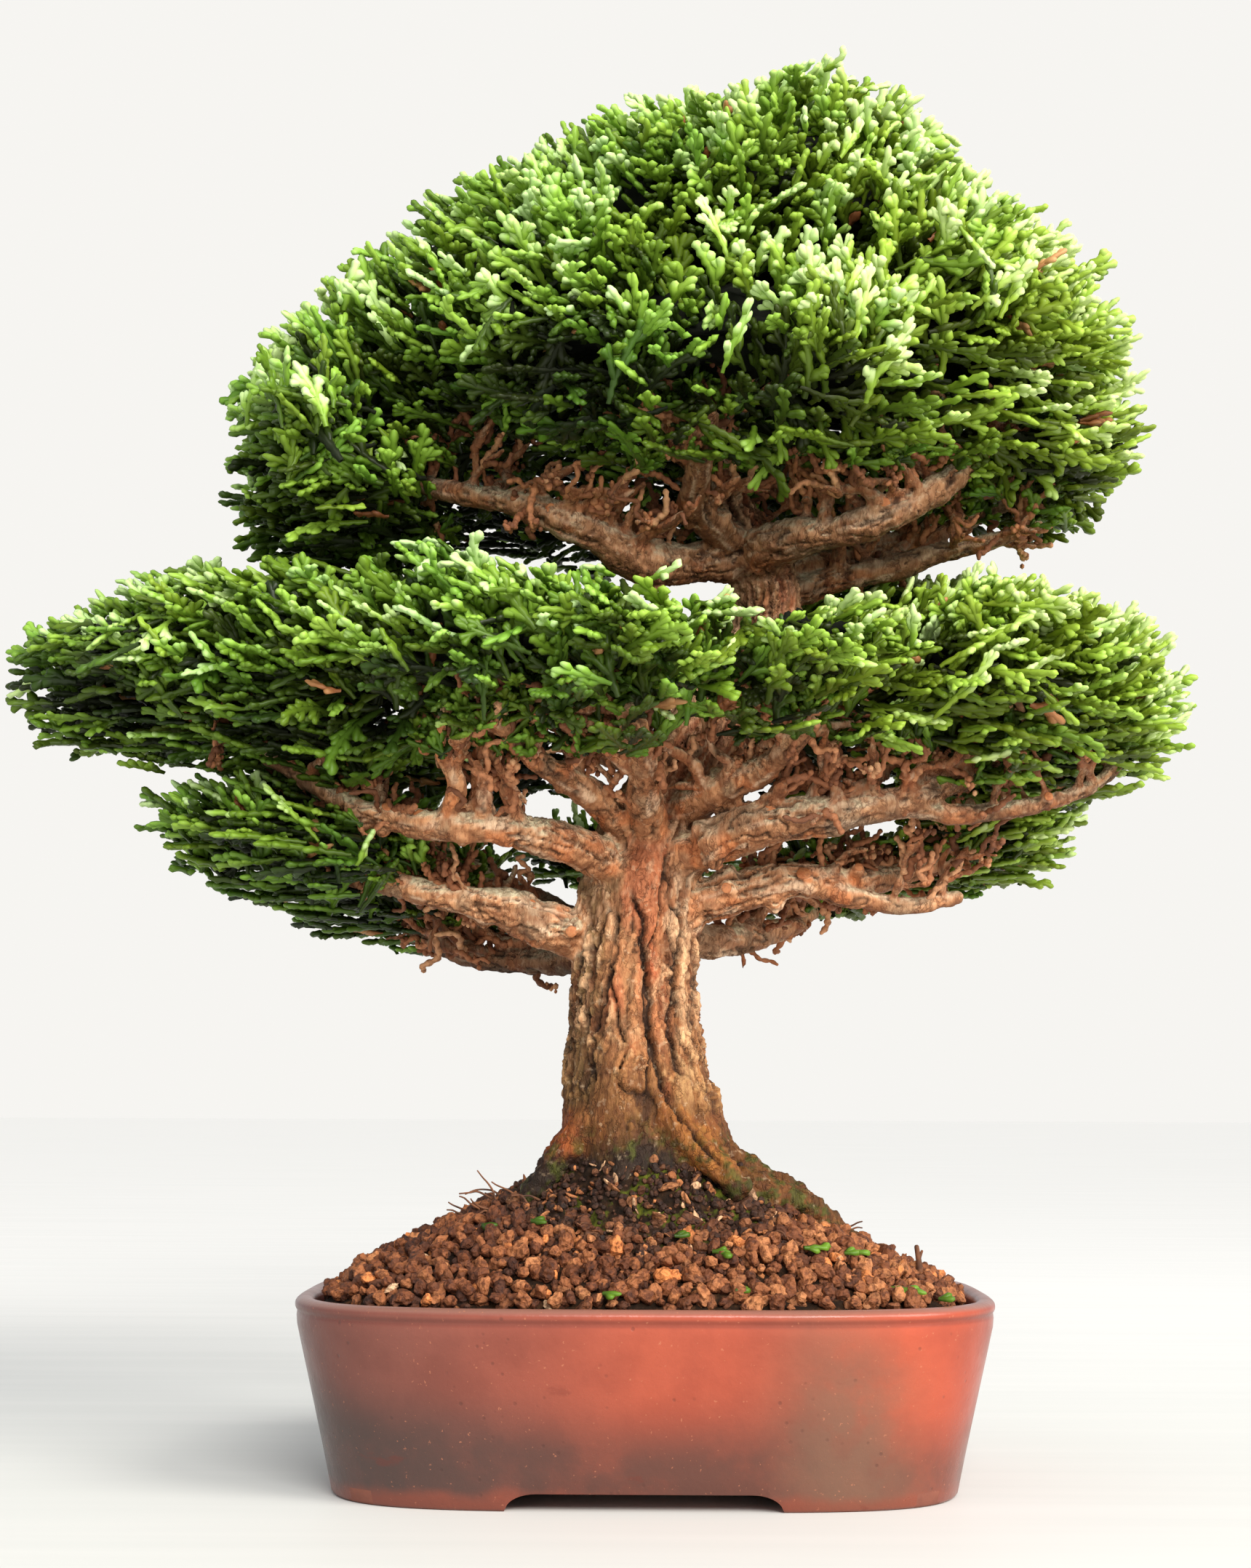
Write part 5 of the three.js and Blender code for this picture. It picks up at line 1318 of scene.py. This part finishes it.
# ------------------------------------------------------------------ foliage
def branchlet(start, angle, length, width, rng, lift=0.0, curl=0.0, tip0=0.0, tip1=1.0):
    """A plump, knobbly, blunt-ended scale-leaf twig in the fan's plane."""
    n = max(3, int(round(length / 1.45)) + 1)
    t = np.r_[np.linspace(0, 1, n), 1.0]
    a = angle + curl * t
    seg = length / (n - 1)
    step = np.full(n, seg)
    step[-1] = width * 0.24
    dx, dy = np.cos(a), np.sin(a)
    x = start[0] + np.r_[0, np.cumsum(dx[:-1] * step)]
    y = start[1] + np.r_[0, np.cumsum(dy[:-1] * step)]
    z = start[2] + lift * t * t * length + rng.uniform(-0.22, 0.22, n + 1)
    z[-1] = z[-2]
    knob = 1 + 0.17 * np.where(np.arange(n + 1) % 2 == 0, 1, -1) * rng.uniform(0.5, 1.3, n + 1)
    w = 0.5 * width * (0.74 + 0.32 * np.sin(np.pi * (0.08 + 0.66 * t))) * knob
    w[0] *= 0.75
    w[-1] = w[-2] * 0.72
    h = w * 0.66
    side = np.stack([-dy, dx, np.zeros(n + 1)], -1)
    c = np.stack([x, y, z], -1)
    up = np.array([0, 0, 1.0])
    ring = np.stack([c + side * w[:, None], c + up * h[:, None], c - side * w[:, None], c - up * h[:, None]], 1)
    end = c[-1] + np.array([dx[-1], dy[-1], 0]) * width * 0.18
    v = np.vstack([ring.reshape(-1, 3), end])
    k, i = np.meshgrid(np.arange(n), np.arange(4), indexing="ij")
    p0, p1 = (k * 4 + i).ravel(), (k * 4 + (i + 1) % 4).ravel()
    f = np.vstack([np.stack([p0, p1 + 4, p1], -1), np.stack([p0, p0 + 4, p1 + 4], -1)])
    i = np.arange(4)
    f = np.vstack([f, np.stack([n * 4 + i, np.full(4, (n + 1) * 4), n * 4 + (i + 1) % 4], -1)])
    tip = np.r_[np.repeat(tip0 + (tip1 - tip0) * t, 4), tip1]
    return v, f, {"tip": tip}, (x[:-1], y[:-1], z[:-1], a[:-1])


def spray(length, rng, spread=1.0):
    """Axis with alternate forward-pointing blunt fingers, longest low down, some of them lobed."""
    parts = []
    curl = rng.uniform(-0.7, 0.7)
    lift = rng.uniform(-0.016, 0.014)
    axis = branchlet((0, 0, 0), 0, length, 2.5, rng, lift * 1.2, curl, 0.0, 1.0)
    parts.append(axis[:3])
    xs, ys, zs, an = axis[3]
    side = rng.choice([-1, 1])
    pos = length * rng.uniform(0.12, 0.24)
    while pos < length * 0.9:
        t = pos / length
        x, y, z, a = (np.interp(t, np.linspace(0, 1, len(xs)), q) for q in (xs, ys, zs, an))
        reach = length * rng.uniform(0.18, 0.46) * (1.1 - 0.7 * t)
        reach = float(np.clip(reach, 2.4, 10.0))
        ang = a + side * rng.uniform(0.45, 0.95) * spread
        b = branchlet((x, y, z), ang, reach, rng.uniform(2.3, 3.1), rng, rng.uniform(-0.06, 0.06), -side * rng.uniform(0.0, 0.8), t * 0.55, 1.0)
        parts.append(b[:3])
        bx, by, bz, ba = b[3]
        if reach > 4.6:
            for u in ([0.4, 0.7] if reach > 7.0 else [0.55]):
                q = [np.interp(u + rng.uniform(-0.1, 0.1), np.linspace(0, 1, len(bx)), s) for s in (bx, by, bz, ba)]
                s2 = rng.choice([-1, 1])
                parts.append(branchlet(q[:3], q[3] + s2 * rng.uniform(0.5, 0.9), rng.uniform(2.0, 3.8), rng.uniform(2.1, 2.7), rng, 0.0, -s2 * 0.4, 0.55, 1.0)[:3])
        side = -side if rng.random() < 0.85 else side
        pos += rng.uniform(2.6, 4.6)
    v, f, att = join(parts)
    v[:, 2] += -0.012 * v[:, 1] ** 2 * rng.uniform(-0.5, 1.0)
    return v, f, att


def leaf_material():
    m = Nodes("scale_leaves")
    value = m.attribute("value")
    warm = m.attribute("warm")
    # the palest, whitish stop of each green ramp is a painted highlight; the near-black low end holds the painted
    # shade of deep sprays and the inner mass
    cool = m.ramp(value, [(0.0, (0.0028, 0.0040, 0.0010, 1)), (0.15, (0.011, 0.021, 0.0035, 1)), (0.36, (0.039, 0.088, 0.008, 1)), (0.58, (0.094, 0.208, 0.016, 1)), (0.8, (0.26, 0.49, 0.060, 1)), (1.0, (0.55, 0.77, 0.33, 1))])
    gold = m.ramp(value, [(0.0, (0.0034, 0.0038, 0.0008, 1)), (0.15, (0.018, 0.023, 0.0028, 1)), (0.36, (0.070, 0.100, 0.007, 1)), (0.58, (0.165, 0.238, 0.013, 1)), (0.8, (0.35, 0.51, 0.055, 1)), (1.0, (0.64, 0.78, 0.32, 1))])
    col = m.mix(m.range(warm, 0.0, 0.8, kind="LINEAR"), cool, gold)
    brown = m.ramp(value, [(0.0, srgb(84, 46, 24)), (0.5, srgb(150, 92, 54)), (1.0, srgb(206, 158, 104))])
    col = m.mix(m.math("GREATER_THAN", warm, 0.9), col, brown)
    m.set(Base_Color=col, Roughness=m.range(value, 0.0, 0.15, 0.95, 0.42, kind="LINEAR"), Specular_IOR_Level=0.25)
    return m.mat


def pad_frame(p):
    a = math.radians(p[7])
    return np.array([[math.cos(a), 0, -math.sin(a)], [0, 1, 0], [math.sin(a), 0, math.cos(a)]])


def lobes(u, phase):
    return (
        1
        + 0.05 * np.sin(4.1 * u[:, 0] + 1.7 * u[:, 1] + phase)
        + 0.045 * np.sin(5.3 * u[:, 1] - 2.3 * u[:, 0] + 2 * phase)
        + 0.035 * np.sin(6.1 * u[:, 2] + 3.7 * u[:, 0] + 3 * phase)
    )


def pad_distance(name, pts, inset=0.0, dn_share=1.0):
    """Rough distance in mm from the pad's surface, negative inside."""
    p = PADS[name]
    phase = 0.9 + 1.37 * list(PADS).index(name)
    q = (pts - np.array(p[:3])) @ pad_frame(p)
    half = np.stack([np.full(len(q), p[3] - inset), np.full(len(q), p[4] - inset), np.where(q[:, 2] > 0, p[5] - inset, max(4.0, (p[6] - inset) * dn_share))], -1)
    k = np.linalg.norm(q / half, axis=1)
    k = np.maximum(k, 1e-3)
    u = q / half / k[:, None]
    return np.linalg.norm(q, axis=1) * (1 - lobes(u, phase) / k)


def mass_distance(names, pts, blend, inset=0.0, dn_share=1.0):
    """Distance from the rounded-together pads, with tufts and hollows."""
    total = 0.0
    for name in names:
        total = total + np.exp(-np.clip(pad_distance(name, pts, inset, dn_share), -60, 200) / blend)
    return -blend * np.log(np.maximum(total, 1e-30)) + 2.6 * noise(pts / 26.0, 400) + 1.8 * noise(pts / 11.0, 401)


def thin_out(world, gap, order):
    """Keeps points no nearer to each other than their gap."""
    cell, chosen = {}, []
    for i in order:
        q = world[i]
        g = gap[i]
        key = (int(q[0] // 8), int(q[1] // 8), int(q[2] // 8))
        clash = False
        for dx in (-1, 0, 1):
            for dy in (-1, 0, 1):
                for dz in (-1, 0, 1):
                    for j in cell.get((key[0] + dx, key[1] + dy, key[2] + dz), ()):
                        w = world[j]
                        if (w[0] - q[0]) ** 2 + (w[1] - q[1]) ** 2 + (w[2] - q[2]) ** 2 < g * g:
                            clash = True
                            break
                    if clash:
                        break
                if clash:
                    break
            if clash:
                break
        if not clash:
            chosen.append(i)
            cell.setdefault(key, []).append(i)
    return np.array(chosen)


# limbs seen bare from the front, and how far along
BARE = [("left_mid", 0.85), ("left_low", 0.6), ("right_mid", 0.8), ("right_low", 0.8), ("crown_left", 0.72), ("crown_right", 0.72), ("crown_right_low", 0.9)]
EYE = np.array([0.0, -672.2, 108.3])


def bare_samples():
    out = []
    for name, share in BARE:
        p = spline(LIMBS[name], 2.5)
        out.append(p[: int(len(p) * share)])
    for k, share in ((0, 0.7), (1, 0.9), (2, 0.95), (3, 0.85)):
        p = spline(FORKS[k], 2.5)
        out.append(p[: int(len(p) * share)])
    return np.vstack(out)


def hides_limb(points, limbs, extra):
    """True where a point, seen from the front, lies over a bare limb."""
    hit = np.zeros(len(points), bool)
    for l in limbs:
        k = (l[1] - EYE[1]) / (points[:, 1] - EYE[1])
        dx = EYE[0] + (points[:, 0] - EYE[0]) * k - l[0]
        dz = EYE[2] + (points[:, 2] - EYE[2]) * k - l[2]
        hit |= (points[:, 1] < l[1]) & (dx * dx + dz * dz < (l[3] + extra) ** 2)
    return hit


MASSES = [
    ([n for n in PADS if n.startswith("crown")], 13.0),
    ([n for n in PADS if n.startswith("mid")], 7.0),
    (["low_left", "low_left_back"], 4.0),
    (["low_right", "low_right_back"], 4.0),
    (["low_back"], 4.0),
]


def build_foliage():
    leaf = leaf_material()
    trng = np.random.default_rng(5)
    large = [spray(trng.uniform(20, 27), trng, 0.85) for _ in range(18)]
    medium = [spray(trng.uniform(13, 19), trng) for _ in range(16)]
    small = [spray(trng.uniform(8, 12), trng) for _ in range(10)]
    templates = large + medium + small
    nl, nm, ns = len(large), len(medium), len(small)
    span = np.array([t[0][:, 0].max() for t in templates])
    everything = list(PADS)
    limbs = bare_samples()
    for mass, (names, blend_mm) in enumerate(MASSES):
        rng = np.random.default_rng(1000 + mass)
        crown = names[0].startswith("crown")
        cand = []
        for name in names:
            p = PADS[name]
            a, b, up, dn = p[3:7]
            area = 4 * np.pi * ((a * b) ** 1.6 / 3 + (a * (up + dn) / 2) ** 1.6 / 3 + (b * (up + dn) / 2) ** 1.6 / 3) ** (1 / 1.6)
            u = unit(rng.normal(size=(int(area / 1.6), 3)))
            half = np.stack([np.full(len(u), a), np.full(len(u), b), np.where(u[:, 2] > 0, up, dn)], -1)
            cand.append((u * half) @ pad_frame(p).T + np.array(p[:3]))
        pts = np.vstack(cand)
        e = 0.8
        for step in range(3):
            f0 = mass_distance(names, pts, blend_mm)
            g = np.stack([mass_distance(names, pts + np.eye(3)[k] * e, blend_mm) - f0 for k in range(3)], -1) / e
            gn = np.maximum(np.linalg.norm(g, axis=1, keepdims=True), 0.3)
            pts = pts - np.clip(f0, -12, 12)[:, None] * g / gn**2 * 0.9
        f0 = mass_distance(names, pts, blend_mm)
        nrm = unit(g)
        ok = np.abs(f0) < 1.5
        # points buried in another mass
        for other, (onames, ob) in enumerate(MASSES):
            if other != mass:
                ok &= mass_distance(onames, pts, ob) > -9
        pts, nrm = pts[ok], nrm[ok]
        # a broad normal, free of the small tufts, steers the sprays
        gap = 6.9 + 1.0 * np.clip(-nrm[:, 2], 0, 1) + 0.8 * np.clip(nrm[:, 1], 0, 1)
        keep = thin_out(pts, gap, rng.permutation(len(pts)))
        pts, nrm = pts[keep], nrm[keep]
        # the low front of a tier near the trunk is open, with bare branches
        x0 = 30.0 if crown else 8.0
        reach = 92.0 if crown else 112.0
        open_low = smooth(0.05, -0.45, nrm[:, 2]) * smooth(reach, reach * 0.55, np.abs(pts[:, 0] - x0))
        if names[0].startswith("low"):
            open_low = smooth(-0.1, -0.6, nrm[:, 2]) * smooth(100, 50, np.abs(pts[:, 0]))
        open_low = open_low * smooth(25, -5, pts[:, 1])
        show = rng.random(len(pts)) > 0.58 * open_low
        pts, nrm, open_low = pts[show], nrm[show], open_low[show]
        n1 = len(pts)
        deep = rng.random(n1) < 0.95 - 0.45 * open_low
        deeper = rng.random(n1) < 0.8 - 0.4 * open_low
        pts = np.vstack([pts, pts[deep] - nrm[deep] * rng.uniform(4, 9, deep.sum())[:, None], pts[deeper] - nrm[deeper] * rng.uniform(9, 17, deeper.sum())[:, None]])
        nrm = np.vstack([nrm, nrm[deep], nrm[deeper]])
        layer = np.r_[np.zeros(n1), np.full(deep.sum(), 1.0), np.full(deeper.sum(), 1.7)]
        n = len(pts)
        pts[n1:] += rng.normal(size=(n - n1, 3)) * 2.0
        out = (pts - np.array([x0, 0, 0])) * np.array([1, 0.75, 0])
        far = np.linalg.norm(out, axis=1, keepdims=True)
        out = out / np.maximum(far, 1) * smooth(2, 30, far)
        below = np.clip(-nrm[:, 2], 0, 1)[:, None]
        top = np.clip(nrm[:, 2], 0, 1)[:, None]
        lift = 0.16 + (0.22 if crown else 0.10) * top + 0.12 * below
        swirl = np.stack([noise(pts / 30.0 + 50 * k, 410 + k) for k in range(3)], -1)
        d = unit(nrm * (0.62 - 0.35 * below) + out * (0.75 if not crown else 0.6) + np.array([0, 0, 1.0]) * lift + swirl * 0.55 + rng.normal(size=(n, 3)) * 0.32)
        if names[0].startswith("low"):
            d[:, 2] = np.maximum(d[:, 2], -0.06)
        hang = below[:, 0] > 0.12
        d[hang, 2] = np.minimum(d[hang, 2], 0.10)
        d = unit(d)
        loose = 0.16 if names[0].startswith("low") else 0.5
        plane = unit(np.array([0, 0, 1.0]) + (nrm * 0.25 + swirl * 0.3) * (loose / 0.5) + rng.normal(size=(n, 3)) * (loose - 0.25 * below * (loose > 0.3)))
        plane = unit(plane - d * (plane * d).sum(1)[:, None])
        y = np.cross(plane, d)
        rot = np.stack([d, y, plane], -1)
        cls = rng.random(n)
        pick = np.where(cls < 0.42, rng.integers(0, nl, n), np.where(cls < 0.8, rng.integers(nl, nl + nm, n), rng.integers(nl + nm, nl + nm + ns, n)))
        scale = rng.uniform(0.88, 1.1, n)
        reachf = span[pick] * scale
        place = pts - d * (reachf - 1.5)[:, None] - d * rng.uniform(-0.08, 0.22, n)[:, None] * reachf[:, None] + rng.normal(size=(n, 3)) * 0.6
        patch = fbm(pts * 0.035, 2, 200)
        # painted light and shade: sprays that face up, the front and the right are lighter, sprays towards the right
        # lighter again, and deeper layers darker
        lit_facing = 0.44 + 0.24 * nrm[:, 2] + 0.10 * np.clip(-nrm[:, 1], 0, 1) + 0.06 * nrm[:, 0]
        tone = np.clip(lit_facing + 0.14 + 0.15 * smooth(-10, 110, pts[:, 0]) + 0.24 * patch + rng.normal(size=n) * 0.17 - 0.27 * layer, 0.05, 1.0)
        warm = np.clip(0.28 + 0.46 * smooth(-40, 120, pts[:, 0]) + 0.35 * fbm(pts * 0.05 + 7, 2, 210) + rng.normal(size=n) * 0.10, 0, 0.8)
        dead = rng.random(n) < np.where(layer > 0.5, 0.03, 0.003) + 0.008 * below[:, 0]
        pick[dead] = rng.integers(nl + nm, nl + nm + ns, dead.sum())
        warm[dead] = 0.95
        tone[dead] = rng.uniform(0.2, 0.9, dead.sum())
        over = np.zeros(n, bool)
        for u in (0.15, 0.5, 0.8, 1.0):
            over |= hides_limb(place + d * (reachf * u)[:, None], limbs, 1.6)
        pick[over & (rng.random(n) < 0.9)] = -1
        pick[mass_distance(names, place, blend_mm) > 2.5] = -1
        # sprays on the ends of the twigs inside and under this mass
        mine = np.stack([mass_distance(o_names, twig_ends[:, :3], 6.0) for o_names, _ in MASSES], -1).argmin(1) == mass
        near_mass = mass_distance(names, twig_ends[:, :3], blend_mm)
        e_pts = twig_ends[mine & (near_mass < 3) & (near_mass > -30)]
        e_pts = np.repeat(e_pts, 3, 0)
        m = len(e_pts)
        ed = e_pts[:, 3:] * 0.6 + rng.normal(size=(m, 3)) * 0.5 + np.array([0, 0, 0.2])
        ed[:, 2] = np.maximum(ed[:, 2], 0.0)
        ed = unit(ed)
        eplane = unit(np.array([0, 0, 1.0]) + rng.normal(size=(m, 3)) * 0.3)
        eplane = unit(eplane - ed * (eplane * ed).sum(1)[:, None])
        erot = np.stack([ed, np.cross(eplane, ed), eplane], -1)
        epick = rng.integers(nl + nm // 2, nl + nm + ns, m)
        etone = np.clip(0.42 + rng.normal(size=m) * 0.16, 0.1, 0.9)
        pts = np.vstack([pts, e_pts[:, :3]])
        place = np.vstack([place, e_pts[:, :3] - ed * 1.5])
        rot = np.concatenate([rot, erot])
        pick = np.r_[pick, epick]
        scale = np.r_[scale, rng.uniform(0.7, 1.0, m)]
        tone = np.r_[tone, etone]
        warm = np.r_[warm, np.clip(0.3 + rng.normal(size=m) * 0.15, 0, 0.8)]
        # each spray belongs to the nearest pad
        home = np.stack([pad_distance(name, pts) for name in names], -1).argmin(1)
        for k, name in enumerate(names):
            sel = home == k
            v, f, att = scatter(templates, np.where(sel, pick, -1), place, rot, scale, {"tone": tone, "warm": warm})
            value = np.clip(0.62 * att["tone"] + 0.42 * att["tip"] * (0.3 + 0.7 * att["tone"]), 0, 1)
            # painted shade: a dark inner mass, coloured as the darkest leaves, closes the pad
            p = PADS[name]
            cu, cf = geodesic(5)
            index = everything.index(name)
            phase = 0.9 + 1.37 * index
            half = np.stack([np.full(len(cu), p[3]), np.full(len(cu), p[4]), np.where(cu[:, 2] > 0, p[5], p[6])], -1)
            inner = np.maximum(half - np.array([19.0, 22.0, 17.0]), half * 0.3)
            inner[:, 2] = np.where(cu[:, 2] > 0, inner[:, 2], half[:, 2] * 0.08)
            cv = cu * inner * lobes(cu, phase)[:, None]
            cv = cv @ pad_frame(p).T + np.array(p[:3]) + np.array([0, 2.0, 5.0])
            cv = cv + unit(cu) * (3.0 * noise(cv * 0.3, 300)[:, None] + 2.2 * noise(cv * 0.8, 301)[:, None])
            zero = np.zeros(len(cv))
            v, f, att2 = join([(v, f, {"value": value, "warm": att["warm"]}), (cv, cf, {"value": zero, "warm": zero + 0.3})])
            i4 = np.arange(len(v)) % 4
            u0 = 0.012 + 0.965 * att2["value"] + 0.006 * ((i4 == 1) | (i4 == 2))
            v0 = np.where(att2["warm"] > 0.9, 0.95, 0.03 + 0.95 * att2["warm"]) + 0.006 * ((i4 == 2) | (i4 == 3))
            o = mesh_piece("leaves_" + name, v, f, leaf, att2, np.stack([u0, v0], -1))
            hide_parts("foliage_" + name)


def build_litter():
    """A few shed green bits on the grit."""
    rng = np.random.default_rng(88)
    parts = []
    for x, y, size, tone in ((71.5, -49.7, 9.5, 0.6), (-9.0, -61.1, 4.5, 0.55), (20.7, -46.9, 4.2, 0.5), (47.5, -40.4, 6.5, 0.6), (58.0, -37.5, 4.6, 0.6), (10.0, -42.0, 3.6, 0.4), (-30.0, -36.0, 3.8, 0.4), (-44.0, -34.0, 3.8, 0.35), (82.0, -50.0, 3.6, 0.5), (26.0, -60.0, 3.2, 0.45)):
        v, f, att = spray(size, rng)
        az = rng.uniform(-0.5, 0.5)
        v = v * np.array([1, 0.9, 0.9])
        h, _ = mound_height(np.array([x]), np.array([y]))
        turn = np.array([[math.cos(az), -math.sin(az), 0], [math.sin(az), math.cos(az), 0], [0, 0, 1]])
        tilt = np.array([[1, 0, 0], [0, 0.8, -0.6], [0, 0.6, 0.8]])
        v = v @ (turn @ tilt).T + np.array([x - size / 2, y, h[0] + humus_rise(np.array([x]), np.array([y]))[0] + 1.2])
        parts.append((v, f, {"value": np.clip(0.62 * tone + 0.4 * att["tip"] * tone, 0, 1), "warm": np.full(len(v), 0.15)}))
    v, f, att = join(parts)
    i4 = np.arange(len(v)) % 4
    u0 = 0.012 + 0.965 * att["value"] + 0.006 * ((i4 == 1) | (i4 == 2))
    v0 = 0.03 + 0.95 * att["warm"] + 0.006 * ((i4 == 2) | (i4 == 3))
    o = mesh_piece("leaf_litter", v, f, bpy.data.materials["scale_leaves"], att, np.stack([u0, v0], -1))


build_foliage()
build_litter()
